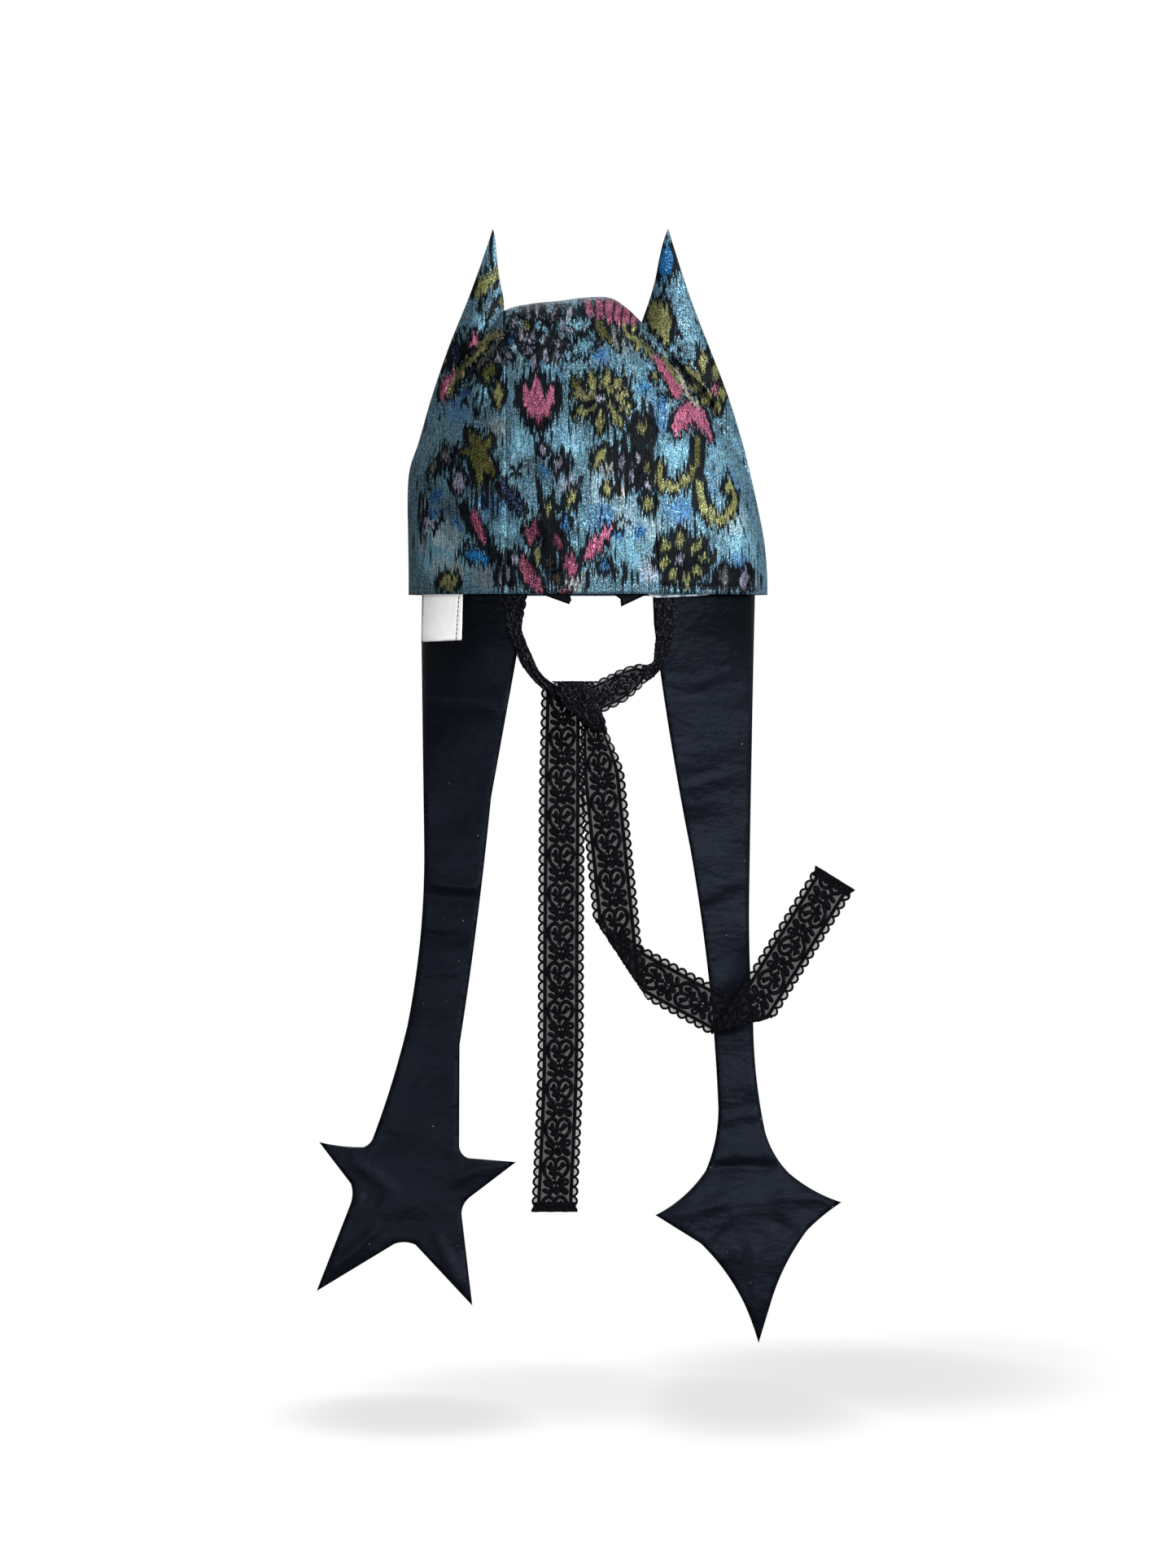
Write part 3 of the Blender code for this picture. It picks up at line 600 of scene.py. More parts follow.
@dataclass(frozen=True)
class StudioPaper:
    """White seamless paper that glows evenly, but for soft grey shadows painted under the part."""

    name: str = "studio_paper"
    # painted shadows under the part: across, back, half width and half length in metres, then how dark
    painted_shadows: tuple = (
        (-0.110, -0.21, 0.11, 0.55, 0.22), (-0.018, 0.20, 0.16, 0.75, 0.14), (0.107, 0.05, 0.11, 0.90, 0.22),
        (0.190, 0.53, 0.19, 0.95, 0.20), (0.270, 0.90, 0.12, 0.70, 0.08),
    )

    def material(self) -> bpy.types.Material:
        """Build the material on object coordinates."""
        graph = Graph(self.name)
        x, y, _ = graph.axes(graph.place())
        shade: Any = 0.0
        # each patch darkens the glow: a painted shadow, not one cast by the lights
        for across, back, width, length, dark in self.painted_shadows:
            off_x, off_y = (x - across) * (1 / width), (y - back) * (1 / length)
            shade = (off_x * off_x + off_y * off_y).band(1.0, 0.0, 0.0, dark).larger(shade)
        glow = graph.blend(shade, (1.0, 1.0, 1.0, 1.0), (0.0, 0.0, 0.0, 1.0))
        return graph.dress(Base_Color=(0.0, 0.0, 0.0, 1.0), Roughness=0.9, Specular_IOR_Level=0.0,
                           Emission_Color=glow, Emission_Strength=1.0)


# Modelling by hand


def deselect_all() -> None:
    """Leave nothing selected, not even the nodes that the frame's loading selects."""
    if bpy.context.object is not None and bpy.context.object.mode != "OBJECT":
        bpy.ops.object.mode_set(mode="OBJECT")
    bpy.ops.object.select_all(action="DESELECT")


def take(piece: bpy.types.Object) -> bpy.types.Object:
    """Select one piece alone and make it active."""
    deselect_all()
    piece.select_set(True)
    bpy.context.view_layer.objects.active = piece
    return piece


@contextmanager
def editing(piece: bpy.types.Object, action: str = "") -> Iterator[None]:
    """Hold one piece in edit mode.

    Args:
        piece: The piece that is edited.
        action: SELECT or DESELECT for all of its mesh, or nothing to leave it as it is.

    Yields:
        Nothing.
    """
    take(piece)
    bpy.ops.object.mode_set(mode="EDIT")
    if action:
        bpy.ops.mesh.select_all(action=action)
    yield
    bpy.ops.object.mode_set(mode="OBJECT")


def new_object(name: str, data: Any) -> bpy.types.Object:
    """Put data into the scene as a new object."""
    made = bpy.data.objects.new(name, data)
    bpy.context.collection.objects.link(made)
    return made


def new_mesh(name: str, points: Sequence[Point], faces: Sequence[Sequence[int]]) -> bpy.types.Object:
    """Add a smooth piece made of points in millimetres and faces between them."""
    mesh = bpy.data.meshes.new(name)
    mesh.from_pydata([Vector(p) * MM for p in points], [], faces)
    mesh.shade_smooth()
    return new_object(name, mesh)


def new_grid(name: str, columns: int, rows: int, spot: Callable[[float, float], Point],
             unit_map: Callable[[float, float], Flat] | None = None) -> bpy.types.Object:
    """Add a flat grid and lay each of its points on a piece.

    Args:
        name: The piece's name.
        columns: How many cells it has across.
        rows: How many cells it has along.
        spot: Gives a place in millimetres from the shares across and along, 0 to 1.
        unit_map: Gives the cloth map's place in millimetres from the same shares.

    Returns:
        The grid as an object at the origin.
    """
    deselect_all()
    bpy.ops.mesh.primitive_grid_add(x_subdivisions=columns, y_subdivisions=rows, size=1.0, location=(0, 0, 0))
    piece = bpy.context.object
    piece.name = piece.data.name = name
    mesh = piece.data
    while mesh.uv_layers:
        mesh.uv_layers.remove(mesh.uv_layers[0])
    shares = [(v.co.x + 0.5, v.co.y + 0.5) for v in mesh.vertices]
    if unit_map is not None:
        layer = mesh.uv_layers.new(name="cloth")
        places = [unit_map(u, v) for u, v in shares]
        for loop in mesh.loops:
            across, along = places[loop.vertex_index]
            layer.data[loop.index].uv = (across / 100, along / 100)
    for vertex, (u, v) in zip(mesh.vertices, shares):
        vertex.co = Vector(spot(u, v)) * MM
    return piece


def join(pieces: Sequence[bpy.types.Object], name: str) -> bpy.types.Object:
    """Join pieces into the first of them.

    Args:
        pieces: The pieces, which need not be more than one.
        name: What the whole is called.

    Returns:
        The whole.
    """
    take(pieces[0])
    for piece in pieces[1:]:
        piece.select_set(True)
    if len(pieces) > 1:
        bpy.ops.object.join()
    pieces[0].name = pieces[0].data.name = name
    return pieces[0]


def weld(piece: bpy.types.Object, distance: float) -> None:
    """Merge the points of a piece that lie within a distance in millimetres."""
    with editing(piece, "SELECT"):
        bpy.ops.mesh.remove_doubles(threshold=distance * MM)


def close_walls(piece: bpy.types.Object) -> None:
    """Bridge the open edges of a piece's outer and inner layer, and turn all its faces outwards."""
    with editing(piece, "DESELECT"):
        bpy.ops.mesh.select_mode(type="EDGE")
        bpy.ops.mesh.select_non_manifold(extend=False, use_wire=False, use_boundary=True,
                                         use_multi_face=False, use_non_contiguous=False, use_verts=False)
        bpy.ops.mesh.bridge_edge_loops()
        bpy.ops.mesh.faces_shade_flat()
        bpy.ops.mesh.select_all(action="SELECT")
        bpy.ops.mesh.normals_make_consistent(inside=False)


def thicken(piece: bpy.types.Object, thickness: float) -> None:
    """Give a sheet its thickness, half to each side, with a Solidify modifier and apply it."""
    take(piece)
    wall = piece.modifiers.new("wall", "SOLIDIFY")
    wall.thickness, wall.offset, wall.use_even_offset = thickness * MM, 0.0, True
    bpy.ops.object.modifier_apply(modifier=wall.name)


def shade_smooth(piece: bpy.types.Object) -> None:
    """Shade all faces of a piece smooth."""
    piece.data.shade_smooth()


def settle(piece: bpy.types.Object, slot: str, *nodes: str) -> None:
    """Hand a finished piece to the frame and report it.

    Args:
        piece: The piece, which rides on the part's one body.
        slot: Not used.
        nodes: The nodes that it stands for.
    """
    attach(piece, BODY)
    if nodes:
        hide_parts(*nodes)
    LOG.info("%s: %d faces", piece.name, len(piece.data.polygons))


def outline_area(outline: Sequence[Flat]) -> float:
    """Return the area inside a closed outline in millimetres, in square metres."""
    total = 0.0
    for (x0, z0), (x1, z1) in zip(outline, list(outline[1:]) + [outline[0]]):
        total += x0 * z1 - x1 * z0
    return abs(total) / 2 * MM * MM


# Printed pattern


@dataclass(frozen=True)
class PrintChart:
    """The print's motifs, charted on a drafting grid laid over the front of the crown."""

    unit: float = 0.5442
    middle_across: float = 722.5
    hem_row: float = 731.0
    thread: float = 0.9
    thread_shift: float = 0.9
    outline_share: float = 1.6
    petal_end: float = 0.45
    probe: float = 0.8
    warp_seed: int = 11
    warp_threads: int = 1200
    warp_start: float = -300.0
    # how the print goes round the sides, below a height, and lies on the back
    turn_from: float = 0.45
    turn_stretch: float = 0.8
    turn_top: float = 140.0
    turn_fade: float = 50.0
    back_depth: float = 40.0
    back_shift: Flat = (11.0, -14.0)
    # dye, then petals: across, down, width, height, outline and tilt in degrees where they aren't 0
    petals: tuple = (
        # Left ear
        (Dye.SKY, (608, 309, 6, 38, 3)), (Dye.OLIVE, (616, 371, 6, 10, 2), (613, 487, 11, 28, 4)),
        (Dye.PINK, (583, 419, 9, 14, 3)), (Dye.NAVY, (558, 432, 12, 15, 6)),
        (Dye.MOSS, (601, 458, 18, 22, 5, 20)), (Dye.BLUE, (571, 484, 14, 10)),
        (Dye.INK, (571, 495, 10, 12), (587, 508, 10, 12)),
        # Chrysanthemum at the top of the band
        (Dye.LILAC, (655, 414, 5, 16), (668, 420, 5, 14), (640, 410, 5, 14), (650, 390, 5, 14),
         (690, 400, 5, 14), (700, 384, 7, 15, 3, 20), (699, 408, 10, 7, 3), (645, 417, 13, 7, 4, 20),
         (650, 433, 12, 7, 4, -20), (625, 440, 8, 10, 4), (671, 436, 7, 13, 4), (686, 424, 12, 7, 4, 30),
         (634, 396, 9, 6, 4, 30), (660, 382, 6, 13, 5), (680, 388, 6, 13, 5, 20), (612, 442, 7, 12),
         (656, 447, 7, 15), (684, 440, 6, 14)), (Dye.STRAW, (646, 399, 12, 7, 5, 25)),
        (Dye.SKY, (660, 401, 8, 12, 4), (671, 408, 8, 10, 3), (706, 373, 8, 12)),
        (Dye.BLUE, (628, 418, 7, 12, 4)),
        (Dye.PALE, (676, 380, 8, 12, 0, 20), (690, 412, 8, 13), (632, 428, 7, 12), (640, 444, 7, 14),
         (698, 396, 8, 12), (642, 398, 7, 10)),
        # Top edge, scrolls and leaf of the band
        (Dye.CREAM, (743, 415, 4, 7)), (Dye.SKY, (717, 427, 26, 17, 4, -20)), (Dye.BLUE, (735, 439, 12, 9)),
        (Dye.KHAKI, (779, 404, 6, 15, 3)),
        # Tulip and small flowers
        (Dye.LILAC, (667, 555, 8, 12, 4), (686, 573, 10, 14, 5)), (Dye.BLUE, (669, 581, 14, 12)),
        # Olive chrysanthemum
        (Dye.INK, (739, 493, 54, 62)),
        (Dye.KHAKI, (728, 486, 8, 13, 0, -30), (750, 481, 8, 12, 0, 30), (729, 503, 8, 12, 0, 30),
         (749, 502, 8, 12, 0, -30), (737, 475, 6, 12), (714, 487, 20, 12, 4, 8), (764, 488, 18, 12, 4, -15),
         (759, 474, 10, 17, 4, 35)),
        (Dye.LILAC, (738, 493, 11, 12, 3), (764, 574, 7, 15, 5), (776, 587, 6, 16, 5),
         (796, 598, 8, 10, 4), (784, 562, 6, 11, 5)),
        (Dye.OLIVE, (727, 470, 11, 22, 4, -14), (746, 469, 10, 22, 4, 10), (715, 509, 19, 12, 4, -25),
         (737, 521, 12, 26, 4), (758, 514, 12, 20, 4, -35), (768, 502, 15, 10, 4, 10),
         (788, 528, 13, 16, 8), (738, 563, 13, 20, 5, 35), (794, 576, 8, 12, 5), (796, 619, 12, 16, 5),
         (746, 603, 9, 17, 4)), (Dye.MOSS, (708, 474, 9, 14, 3, -30)), (Dye.VIVID, (791, 477, 16, 9)),
        # Right ear
        (Dye.OLIVE, (804, 464, 6, 8, 4)), (Dye.NAVY, (831, 442, 10, 12, 2)), (Dye.INK, (834, 430, 8, 8)),
        (Dye.BLUE, (813, 501, 10, 20)),
        # Chrysanthemum at the right edge
        (Dye.INK, (874, 471, 32, 40)),
        (Dye.OLIVE, (864, 445, 12, 28, 4), (880, 455, 12, 24, 4, 10), (871, 491, 12, 17, 4, 20),
         (890, 485, 12, 16, 4, -30), (887, 500, 11, 17, 4, -10), (893, 468, 10, 15, 4, 35)),
        (Dye.KHAKI, (852, 460, 12, 25, 4, -50), (855, 475, 23, 11, 4, -8)),
        (Dye.PINK, (879, 478, 9, 11, 3)),
        # Star flower and small flowers of the left panel
        (Dye.MOSS, (589, 562, 22, 46, 5), (581, 541, 9, 24, 5, -14), (575, 557, 18, 9, 5, 12),
         (599, 548, 9, 20, 5, 22), (602, 574, 10, 24, 5, -30), (590, 586, 9, 20, 5)),
        (Dye.GREY, (548, 562, 12, 16, 5), (528, 577, 12, 14, 5)),
        (Dye.LILAC, (564, 595, 14, 18, 5), (525, 643, 20, 10, 4, 15), (516, 673, 12, 18),
         (508, 626, 4, 24, 4), (517, 622, 4, 18, 4)), (Dye.INK, (527, 600, 9, 10), (543, 641, 8, 13)),
        (Dye.BLUE, (536, 611, 18, 16), (532, 630, 17, 14)), (Dye.PALE, (551, 662, 34, 36)),
        (Dye.VIVID, (587, 684, 30, 13, 4, 15)), (Dye.OLIVE, (552, 717, 20, 20, 5)),
        (Dye.SKY, (522, 697, 14, 18)),
        # Bottom of the band
        (Dye.OLIVE, (702, 616, 10, 19, 5, 25), (674, 628, 8, 12, 5), (661, 685, 9, 17, 4)),
        (Dye.BLUE, (694, 645, 11, 12, 4), (743, 697, 12, 16, 4), (786, 656, 16, 18)),
        (Dye.MAGENTA, (654, 656, 18, 28, 4, 10), (686, 668, 12, 18, 5, -10), (701, 696, 17, 30, 4, -12),
         (693, 729, 14, 6, 3)), (Dye.BROWN, (675, 694, 8, 11, 4), (685, 713, 8, 11, 4)),
        (Dye.LILAC, (634, 688, 11, 15, 3), (615, 708, 4, 20, 4), (625, 710, 4, 18, 4)),
        (Dye.INK, (756, 705, 8, 12)),
        # Chrysanthemum at the lower right
        (Dye.INK, (836, 689, 58, 64), (933, 706, 6, 16)),
        (Dye.LILAC, (835, 689, 10, 10, 5), (914, 712, 12, 22, 5), (940, 720, 10, 10)),
        (Dye.OLIVE, (835, 666, 12, 21, 6), (855, 671, 12, 16, 6, 40), (864, 688, 14, 9, 6),
         (856, 701, 12, 13, 6, -30), (843, 714, 10, 17, 6, -8), (826, 708, 9, 20, 6, 22),
         (815, 694, 14, 9, 6, 10), (817, 675, 12, 14, 6, -40)), (Dye.GREY, (890, 712, 10, 24, 5)),
    )
    # dye, then strokes: outline, then stations of across, down and half width; a few thin ink strokes are
    # painted shade in creases and along a seam
    strokes: tuple = (
        # Left ear
        (Dye.INK, (0, (604, 286, 5), (611, 296, 3)), (0, (611, 346, 2.5), (600, 358, 3), (587, 373, 2)),
         (0, (613, 362, 3), (602, 386, 3), (593, 408, 3), (576, 423, 2)), (0, (585, 405, 3), (578, 417, 3)),
         (0, (581, 421, 6), (563, 438, 9), (545, 454, 6)),
         # the two thin ink lines below are painted shade, drawn along the creases that run down from the
         # ear's foot
         (0, (617, 405, 1.6), (594, 421, 2), (574, 441, 2), (556, 464, 2), (540, 494, 1.6)),
         (0, (617, 425, 2), (600, 437, 2.6), (580, 456, 2.6), (562, 482, 2))),
        (Dye.OLIVE, (4, (612, 333, 4), (603, 342, 7), (594, 350, 7.5), (587, 362, 4))),
        (Dye.KHAKI, (3, (616, 411, 3.5), (601, 415, 4), (587, 423, 3)),
         (4, (596, 426, 3.5), (581, 440, 4.5), (568, 454, 4.5), (556, 470, 4), (550, 484, 3))),
        (Dye.GREY, (5, (616, 417, 2.5), (603, 433, 3), (587, 451, 2.5))),
        (Dye.PINK, (3, (559, 458, 2), (548, 473, 5), (539, 490, 2))),
        # Chrysanthemum at the top of the band
        (Dye.INK, (0, (662, 414, 9), (662, 414.5, 9)), (0, (640, 378, 3), (655, 400, 5)),
         (0, (690, 376, 3), (672, 398, 5)), (0, (625, 405, 3), (648, 410, 5)),
         (0, (699, 420, 3), (678, 414, 5)), (0, (636, 428, 3), (655, 421, 5)),
         (0, (660, 452, 3), (662, 428, 5)), (0, (690, 443, 3), (672, 424, 5)),
         (0, (640, 450, 3), (655, 432, 4))),
        # Top edge and scrolls of the band
        (Dye.INK, (0, (704, 372, 5), (716, 388, 6), (700, 396, 4)),
         (0, (718, 373, 4), (745, 383, 11), (768, 386, 11), (786, 393, 6)),
         (0, (724, 405, 4), (710, 417, 5)), (0, (702, 440, 2), (716, 443, 3), (732, 432, 2))),
        (Dye.PINK, (0, (722, 372, 4), (725, 384, 4)), (0, (736, 370, 4), (737, 390, 4.5)),
         (0, (748, 371, 5), (748, 394, 4)), (0, (760, 373, 4), (758, 396, 4)),
         (0, (771, 377, 4.5), (768, 396, 4)), (0, (782, 384, 4), (778, 398, 3))),
        (Dye.MOSS, (4, (734, 396, 3), (738, 405, 4.5), (743, 414, 4), (752, 420, 3))),
        (Dye.OLIVE, (4, (770, 413, 2.5), (787, 424, 3.5), (802, 437, 2.5))),
        (Dye.GREY, (3, (752, 402, 2), (758, 430, 3))), (Dye.KHAKI, (2, (766, 400, 2), (768, 412, 2))),
        # Tulip and small flowers
        (Dye.PINK, (7, (660, 467, 2), (660, 484, 7), (661, 503, 10), (664, 517, 4)),
         (7, (645, 478, 2), (650, 493, 7), (656, 508, 7)),
         (7, (679, 479, 2), (675, 494, 6), (669, 508, 7))),
        (Dye.INK, (0, (654, 519, 3), (652, 528, 1.5)), (0, (664, 518, 3), (664, 534, 1.5)),
         (0, (674, 515, 3), (677, 528, 1.5)), (0, (664, 536, 1.5), (666, 548, 3)),
         (0, (679, 559, 2), (682, 588, 3)), (0, (698, 558, 2), (696, 586, 3))),
        # Olive chrysanthemum
        (Dye.INK, (0, (723, 453, 2), (722, 466, 3)), (0, (736, 451, 2), (735, 464, 3)),
         (0, (750, 452, 2), (753, 466, 3)), (0, (765, 455, 2), (764, 472, 3)),
         (0, (776, 462, 2), (773, 480, 3)), (0, (738, 500, 14), (738, 500.5, 14)),
         (0, (744, 556, 3), (755, 548, 3), (766, 543, 2)), (0, (756, 556, 4), (760, 608, 4)),
         (0, (771, 558, 4), (770, 606, 4)), (0, (782, 570, 4), (784, 604, 4)),
         (0, (796, 556, 3), (801, 590, 3)), (0, (713, 587, 3), (713, 601, 2))),
        # Right ear
        (Dye.VIVID, (4, (820, 303, 3), (819, 318, 8), (818, 330, 8), (816, 340, 4))),
        (Dye.INK, (0, (829, 308, 2), (834, 334, 3)), (0, (808, 344, 3), (829, 341, 3)),
         (0, (817, 348, 4), (816, 360, 2)), (0, (802, 370, 5), (820, 371, 6)),
         (0, (820, 374, 3), (828, 392, 3), (835, 412, 3)), (0, (811, 488, 5), (831, 489, 5)),
         (0, (868, 470, 7), (878, 492, 6)),
         # the two thin ink lines below are painted shade along the creases below the ear
         (0, (806, 436, 1.6), (830, 458, 2), (850, 482, 2), (872, 512, 1.6)),
         (0, (822, 440, 1.4), (842, 462, 1.8), (862, 490, 1.8), (884, 520, 1.4))),
        (Dye.OLIVE, (4, (809, 386, 13), (813, 399, 12), (818, 417, 4)),
         (3, (816, 440, 2.5), (824, 455, 3), (833, 471, 3))),
        (Dye.PINK, (3, (805, 439, 3), (818, 459, 5), (831, 480, 7))),
        (Dye.CREAM, (3, (831, 452, 2), (843, 482, 3), (859, 500, 2))),
        # Inverted heart and scroll
        (Dye.PINK, (4, (831, 528, 6), (839, 514, 11), (848, 500, 7), (861, 514, 10), (876, 538, 5))),
        (Dye.OLIVE, (4.5, (810, 579, 3.5), (808, 594, 4.5), (818, 601, 4.5), (832, 599, 4.5), (846, 588, 4)),
         (4.5, (858, 594, 3.5), (863, 625, 4.5), (875, 638, 4.5), (891, 637, 4.5), (902, 625, 4.5),
          (906, 610, 4.5), (898, 594, 4), (893, 602, 3))),
        (Dye.MOSS, (4.5, (846, 588, 3.5), (856, 570, 3.5), (857, 540, 3))),
        (Dye.INK, (0, (858, 528, 6), (857, 575, 8), (856, 622, 7))),
        # Left panel
        # the first ink stroke runs down the upper left seam: painted shade where the ear's edge is shaded,
        # not print
        (Dye.INK, (0, (620, 366, 1.6), (619.5, 446, 1.2)), (0, (504, 608, 3), (505, 644, 3)),
         (0, (512, 606, 3), (513, 640, 3)), (0, (575, 664, 3), (571, 678, 4), (561, 687, 3)),
         (0, (570, 622, 7), (585, 652, 12), (613, 687, 8)), (0, (628, 575, 3), (640, 588, 3)),
         (0, (641, 575, 3), (628, 588, 3))), (Dye.BLUE, (0, (560, 642, 4), (566, 652, 3))),
        (Dye.SKY, (0, (540, 676, 3), (550, 681, 3))),
        (Dye.MAGENTA, (3, (582, 634, 4), (588, 650, 6.5), (595, 664, 3))),
        (Dye.NAVY, (4, (618, 600, 4), (630, 614, 6), (640, 627, 4))),
        # Bottom of the band
        (Dye.INK, (0, (661, 594, 3), (666, 614, 4), (672, 634, 6)),
         (0, (716, 586, 3), (703, 605, 4), (688, 624, 6)),
         (0, (676, 616, 6), (674, 650, 10), (676, 692, 9)), (0, (722, 704, 3), (722, 722, 3)),
         (0, (767, 696, 3), (768, 716, 3)), (0, (749, 651, 2.5), (768, 632, 2)),
         (0, (757, 657, 2), (773, 641, 1.5))),
        (Dye.MAGENTA, (4, (641, 690, 4), (650, 706, 7.5), (663, 728, 5))),
        (Dye.PINK, (4, (721, 686, 4), (734, 669, 7.5), (749, 653, 3))),
        # Hem at the right
        (Dye.INK, (0, (860, 722, 4), (876, 726, 4)), (0, (878, 704, 3), (877, 724, 2)),
         (0, (902, 700, 3), (902, 724, 3)), (0, (925, 700, 3), (926, 722, 2))),
    )
    # across, down, width, height, strength: masses of loose dark streaks
    hazes: tuple = (
        (662, 414, 92, 96, 1.0), (744, 498, 84, 96, 0.6), (780, 572, 56, 78, 1.2), (838, 690, 70, 82, 0.6),
        (512, 646, 28, 76, 0.9), (742, 382, 90, 34, 0.9), (676, 670, 56, 100, 1.0), (630, 700, 40, 56, 1.1),
        (912, 714, 84, 36, 1.2), (688, 574, 36, 44, 0.9), (752, 412, 90, 36, 0.7), (876, 474, 56, 76, 0.5),
        (592, 470, 60, 80, 0.8), (544, 570, 56, 40, 0.8), (661, 530, 30, 40, 1.0), (792, 540, 40, 88, 1.3),
        (600, 372, 30, 60, 0.6), (568, 430, 60, 60, 0.9), (598, 620, 44, 60, 0.8), (770, 714, 30, 24, 0.7),
    )
    # dye, then spots: across, down, reach; the dark teal spots are painted shade
    tints: tuple = (
        (Dye.SKY, (706, 395, 20), (598, 480, 22), (645, 545, 26), (700, 545, 22), (770, 680, 26),
         (830, 560, 24), (885, 560, 22), (920, 670, 26), (720, 665, 14), (590, 395, 14), (626, 650, 16),
         (530, 676, 30), (664, 462, 24), (574, 686, 20)),
        (Dye.GREY, (772, 418, 24), (610, 530, 20), (596, 708, 18)),
        (Dye.BLUE, (660, 450, 17), (560, 505, 22), (740, 440, 14), (600, 618, 26), (745, 640, 26),
         (835, 630, 24), (815, 520, 18), (905, 590, 18), (910, 690, 18)),
        (Dye.LILAC, (800, 700, 18), (700, 600, 16), (516, 668, 14)),
        (Dye.PALE, (524, 648, 24), (545, 692, 30), (740, 600, 24), (800, 650, 20), (905, 640, 26),
         (762, 640, 26)), (Dye.VIVID, (760, 655, 12)),
        (Dye.TAN, (745, 575, 18), (705, 715, 18), (560, 700, 14)),
        # painted shade: dark teal spots in the shaded folds on the left of the crown
        (Dye.DUSK, (597, 602, 28), (521, 592, 16), (656, 572, 20), (582, 418, 22), (556, 626, 18),
         (600, 380, 12)), (Dye.CREAM, (538, 666, 16), (764, 606, 10)),
    )

    def petal_stroke(self, across: float, down: float, width: float, height: float,
                     outline: float = 0.0, tilt: float = 0.0) -> tuple:
        """Turn a petal into a stroke.

        Args:
            across: Where its middle lies, in chart units.
            down: The same, downwards.
            width: Its width.
            height: Its height.
            outline: How wide its ink outline is.
            tilt: How far it leans to the right, in degrees.

        Returns:
            The outline and three stations along the petal's long axis, with half widths.
        """
        angle = math.radians(tilt if height >= width else 90 + tilt)
        half, thin = max(width, height) / 2, min(width, height) / 2
        end = self.petal_end * thin
        dx, dy = math.sin(angle) * (half - end), -math.cos(angle) * (half - end)
        return outline, (across - dx, down - dy, end), (across, down, thin), (across + dx, down + dy, end)

    def distance(self, x: np.ndarray, z: np.ndarray, stations: Sequence[tuple]) -> np.ndarray:
        """Measure how far points lie from a chain of stations.

        Args:
            x: The points' places across, in millimetres.
            z: Their heights.
            stations: Rows of across, down and half width, in chart units.

        Returns:
            Distances in millimetres, negative inside.
        """
        best = np.full(x.shape, 1e6)
        spots = [((across - self.middle_across) * self.unit, (self.hem_row - down) * self.unit)
                 for across, down, _ in stations]
        widths = [width for _, _, width in stations]
        for start, end, wide, narrow in zip(spots, spots[1:], widths, widths[1:]):
            gap, along = run_reach(x, z, start, end)
            best = np.minimum(best, gap - mix(wide, narrow, along) * self.unit)
        return best

    def print_edges(self, x: np.ndarray, z: np.ndarray) -> tuple[np.ndarray, np.ndarray, np.ndarray]:
        """Measure how far points lie from the ink and from the dyed motifs.

        Args:
            x: The points' places across, in millimetres.
            z: Their heights.

        Returns:
            Distances from the ink and from the nearest motif, and that motif's dye.
        """
        ink, fill = np.full(x.shape, 50.0), np.full(x.shape, 50.0)
        dye = np.tile(np.array(srgb(*Dye.OLIVE.value)), (len(x), 1))
        rows = [(colour, self.petal_stroke(*petal)) for colour, *petals in self.petals for petal in petals]
        rows += [(colour, stroke) for colour, *strokes in self.strokes for stroke in strokes]
        for colour, (outline, *stations) in rows:
            gap = self.distance(x, z, stations)
            if colour is Dye.INK:
                ink = np.minimum(ink, gap)
                continue
            dye[gap < fill] = srgb(*colour.value)
            fill = np.minimum(fill, gap)
            if outline:
                ink = np.minimum(ink, gap - outline * self.outline_share * self.unit)
        return ink, fill, dye

    def paint(self, mesh: bpy.types.Mesh) -> None:
        """Write the print, and the painted shade charted with it, onto a crown panel.

        Args:
            mesh: The panel's mesh, whose points take the print as attributes.
        """
        count = len(mesh.vertices)
        places = np.empty(count * 3)
        mesh.vertices.foreach_get("co", places)
        x, y, z = (places.reshape(-1, 3) / MM).T
        behind = np.clip(y / self.back_depth, 0.0, 1.0)
        behind = behind * behind * (3 - 2 * behind)
        climb = np.clip(z, 0, CROWN_TOP) / CROWN_TOP
        roundness = HEAD_HALF_DEPTH * np.sqrt(np.clip(1.0 - climb ** DOME_ROUNDNESS, 0.0, 1.0))
        turned = np.clip(self.turn_from * roundness - np.abs(y), 0.0, None)
        turned = turned * np.clip((self.turn_top - z) / self.turn_fade, 0.0, 1.0)
        x = x + np.sign(x) * turned * self.turn_stretch + self.back_shift[0] * behind
        z = z + self.back_shift[1] * behind
        shift = np.random.default_rng(self.warp_seed).normal(0.0, self.thread_shift, self.warp_threads)
        warp = np.clip(((x - self.warp_start) / self.thread).astype(int), 0, self.warp_threads - 1)
        z = z + shift[warp]

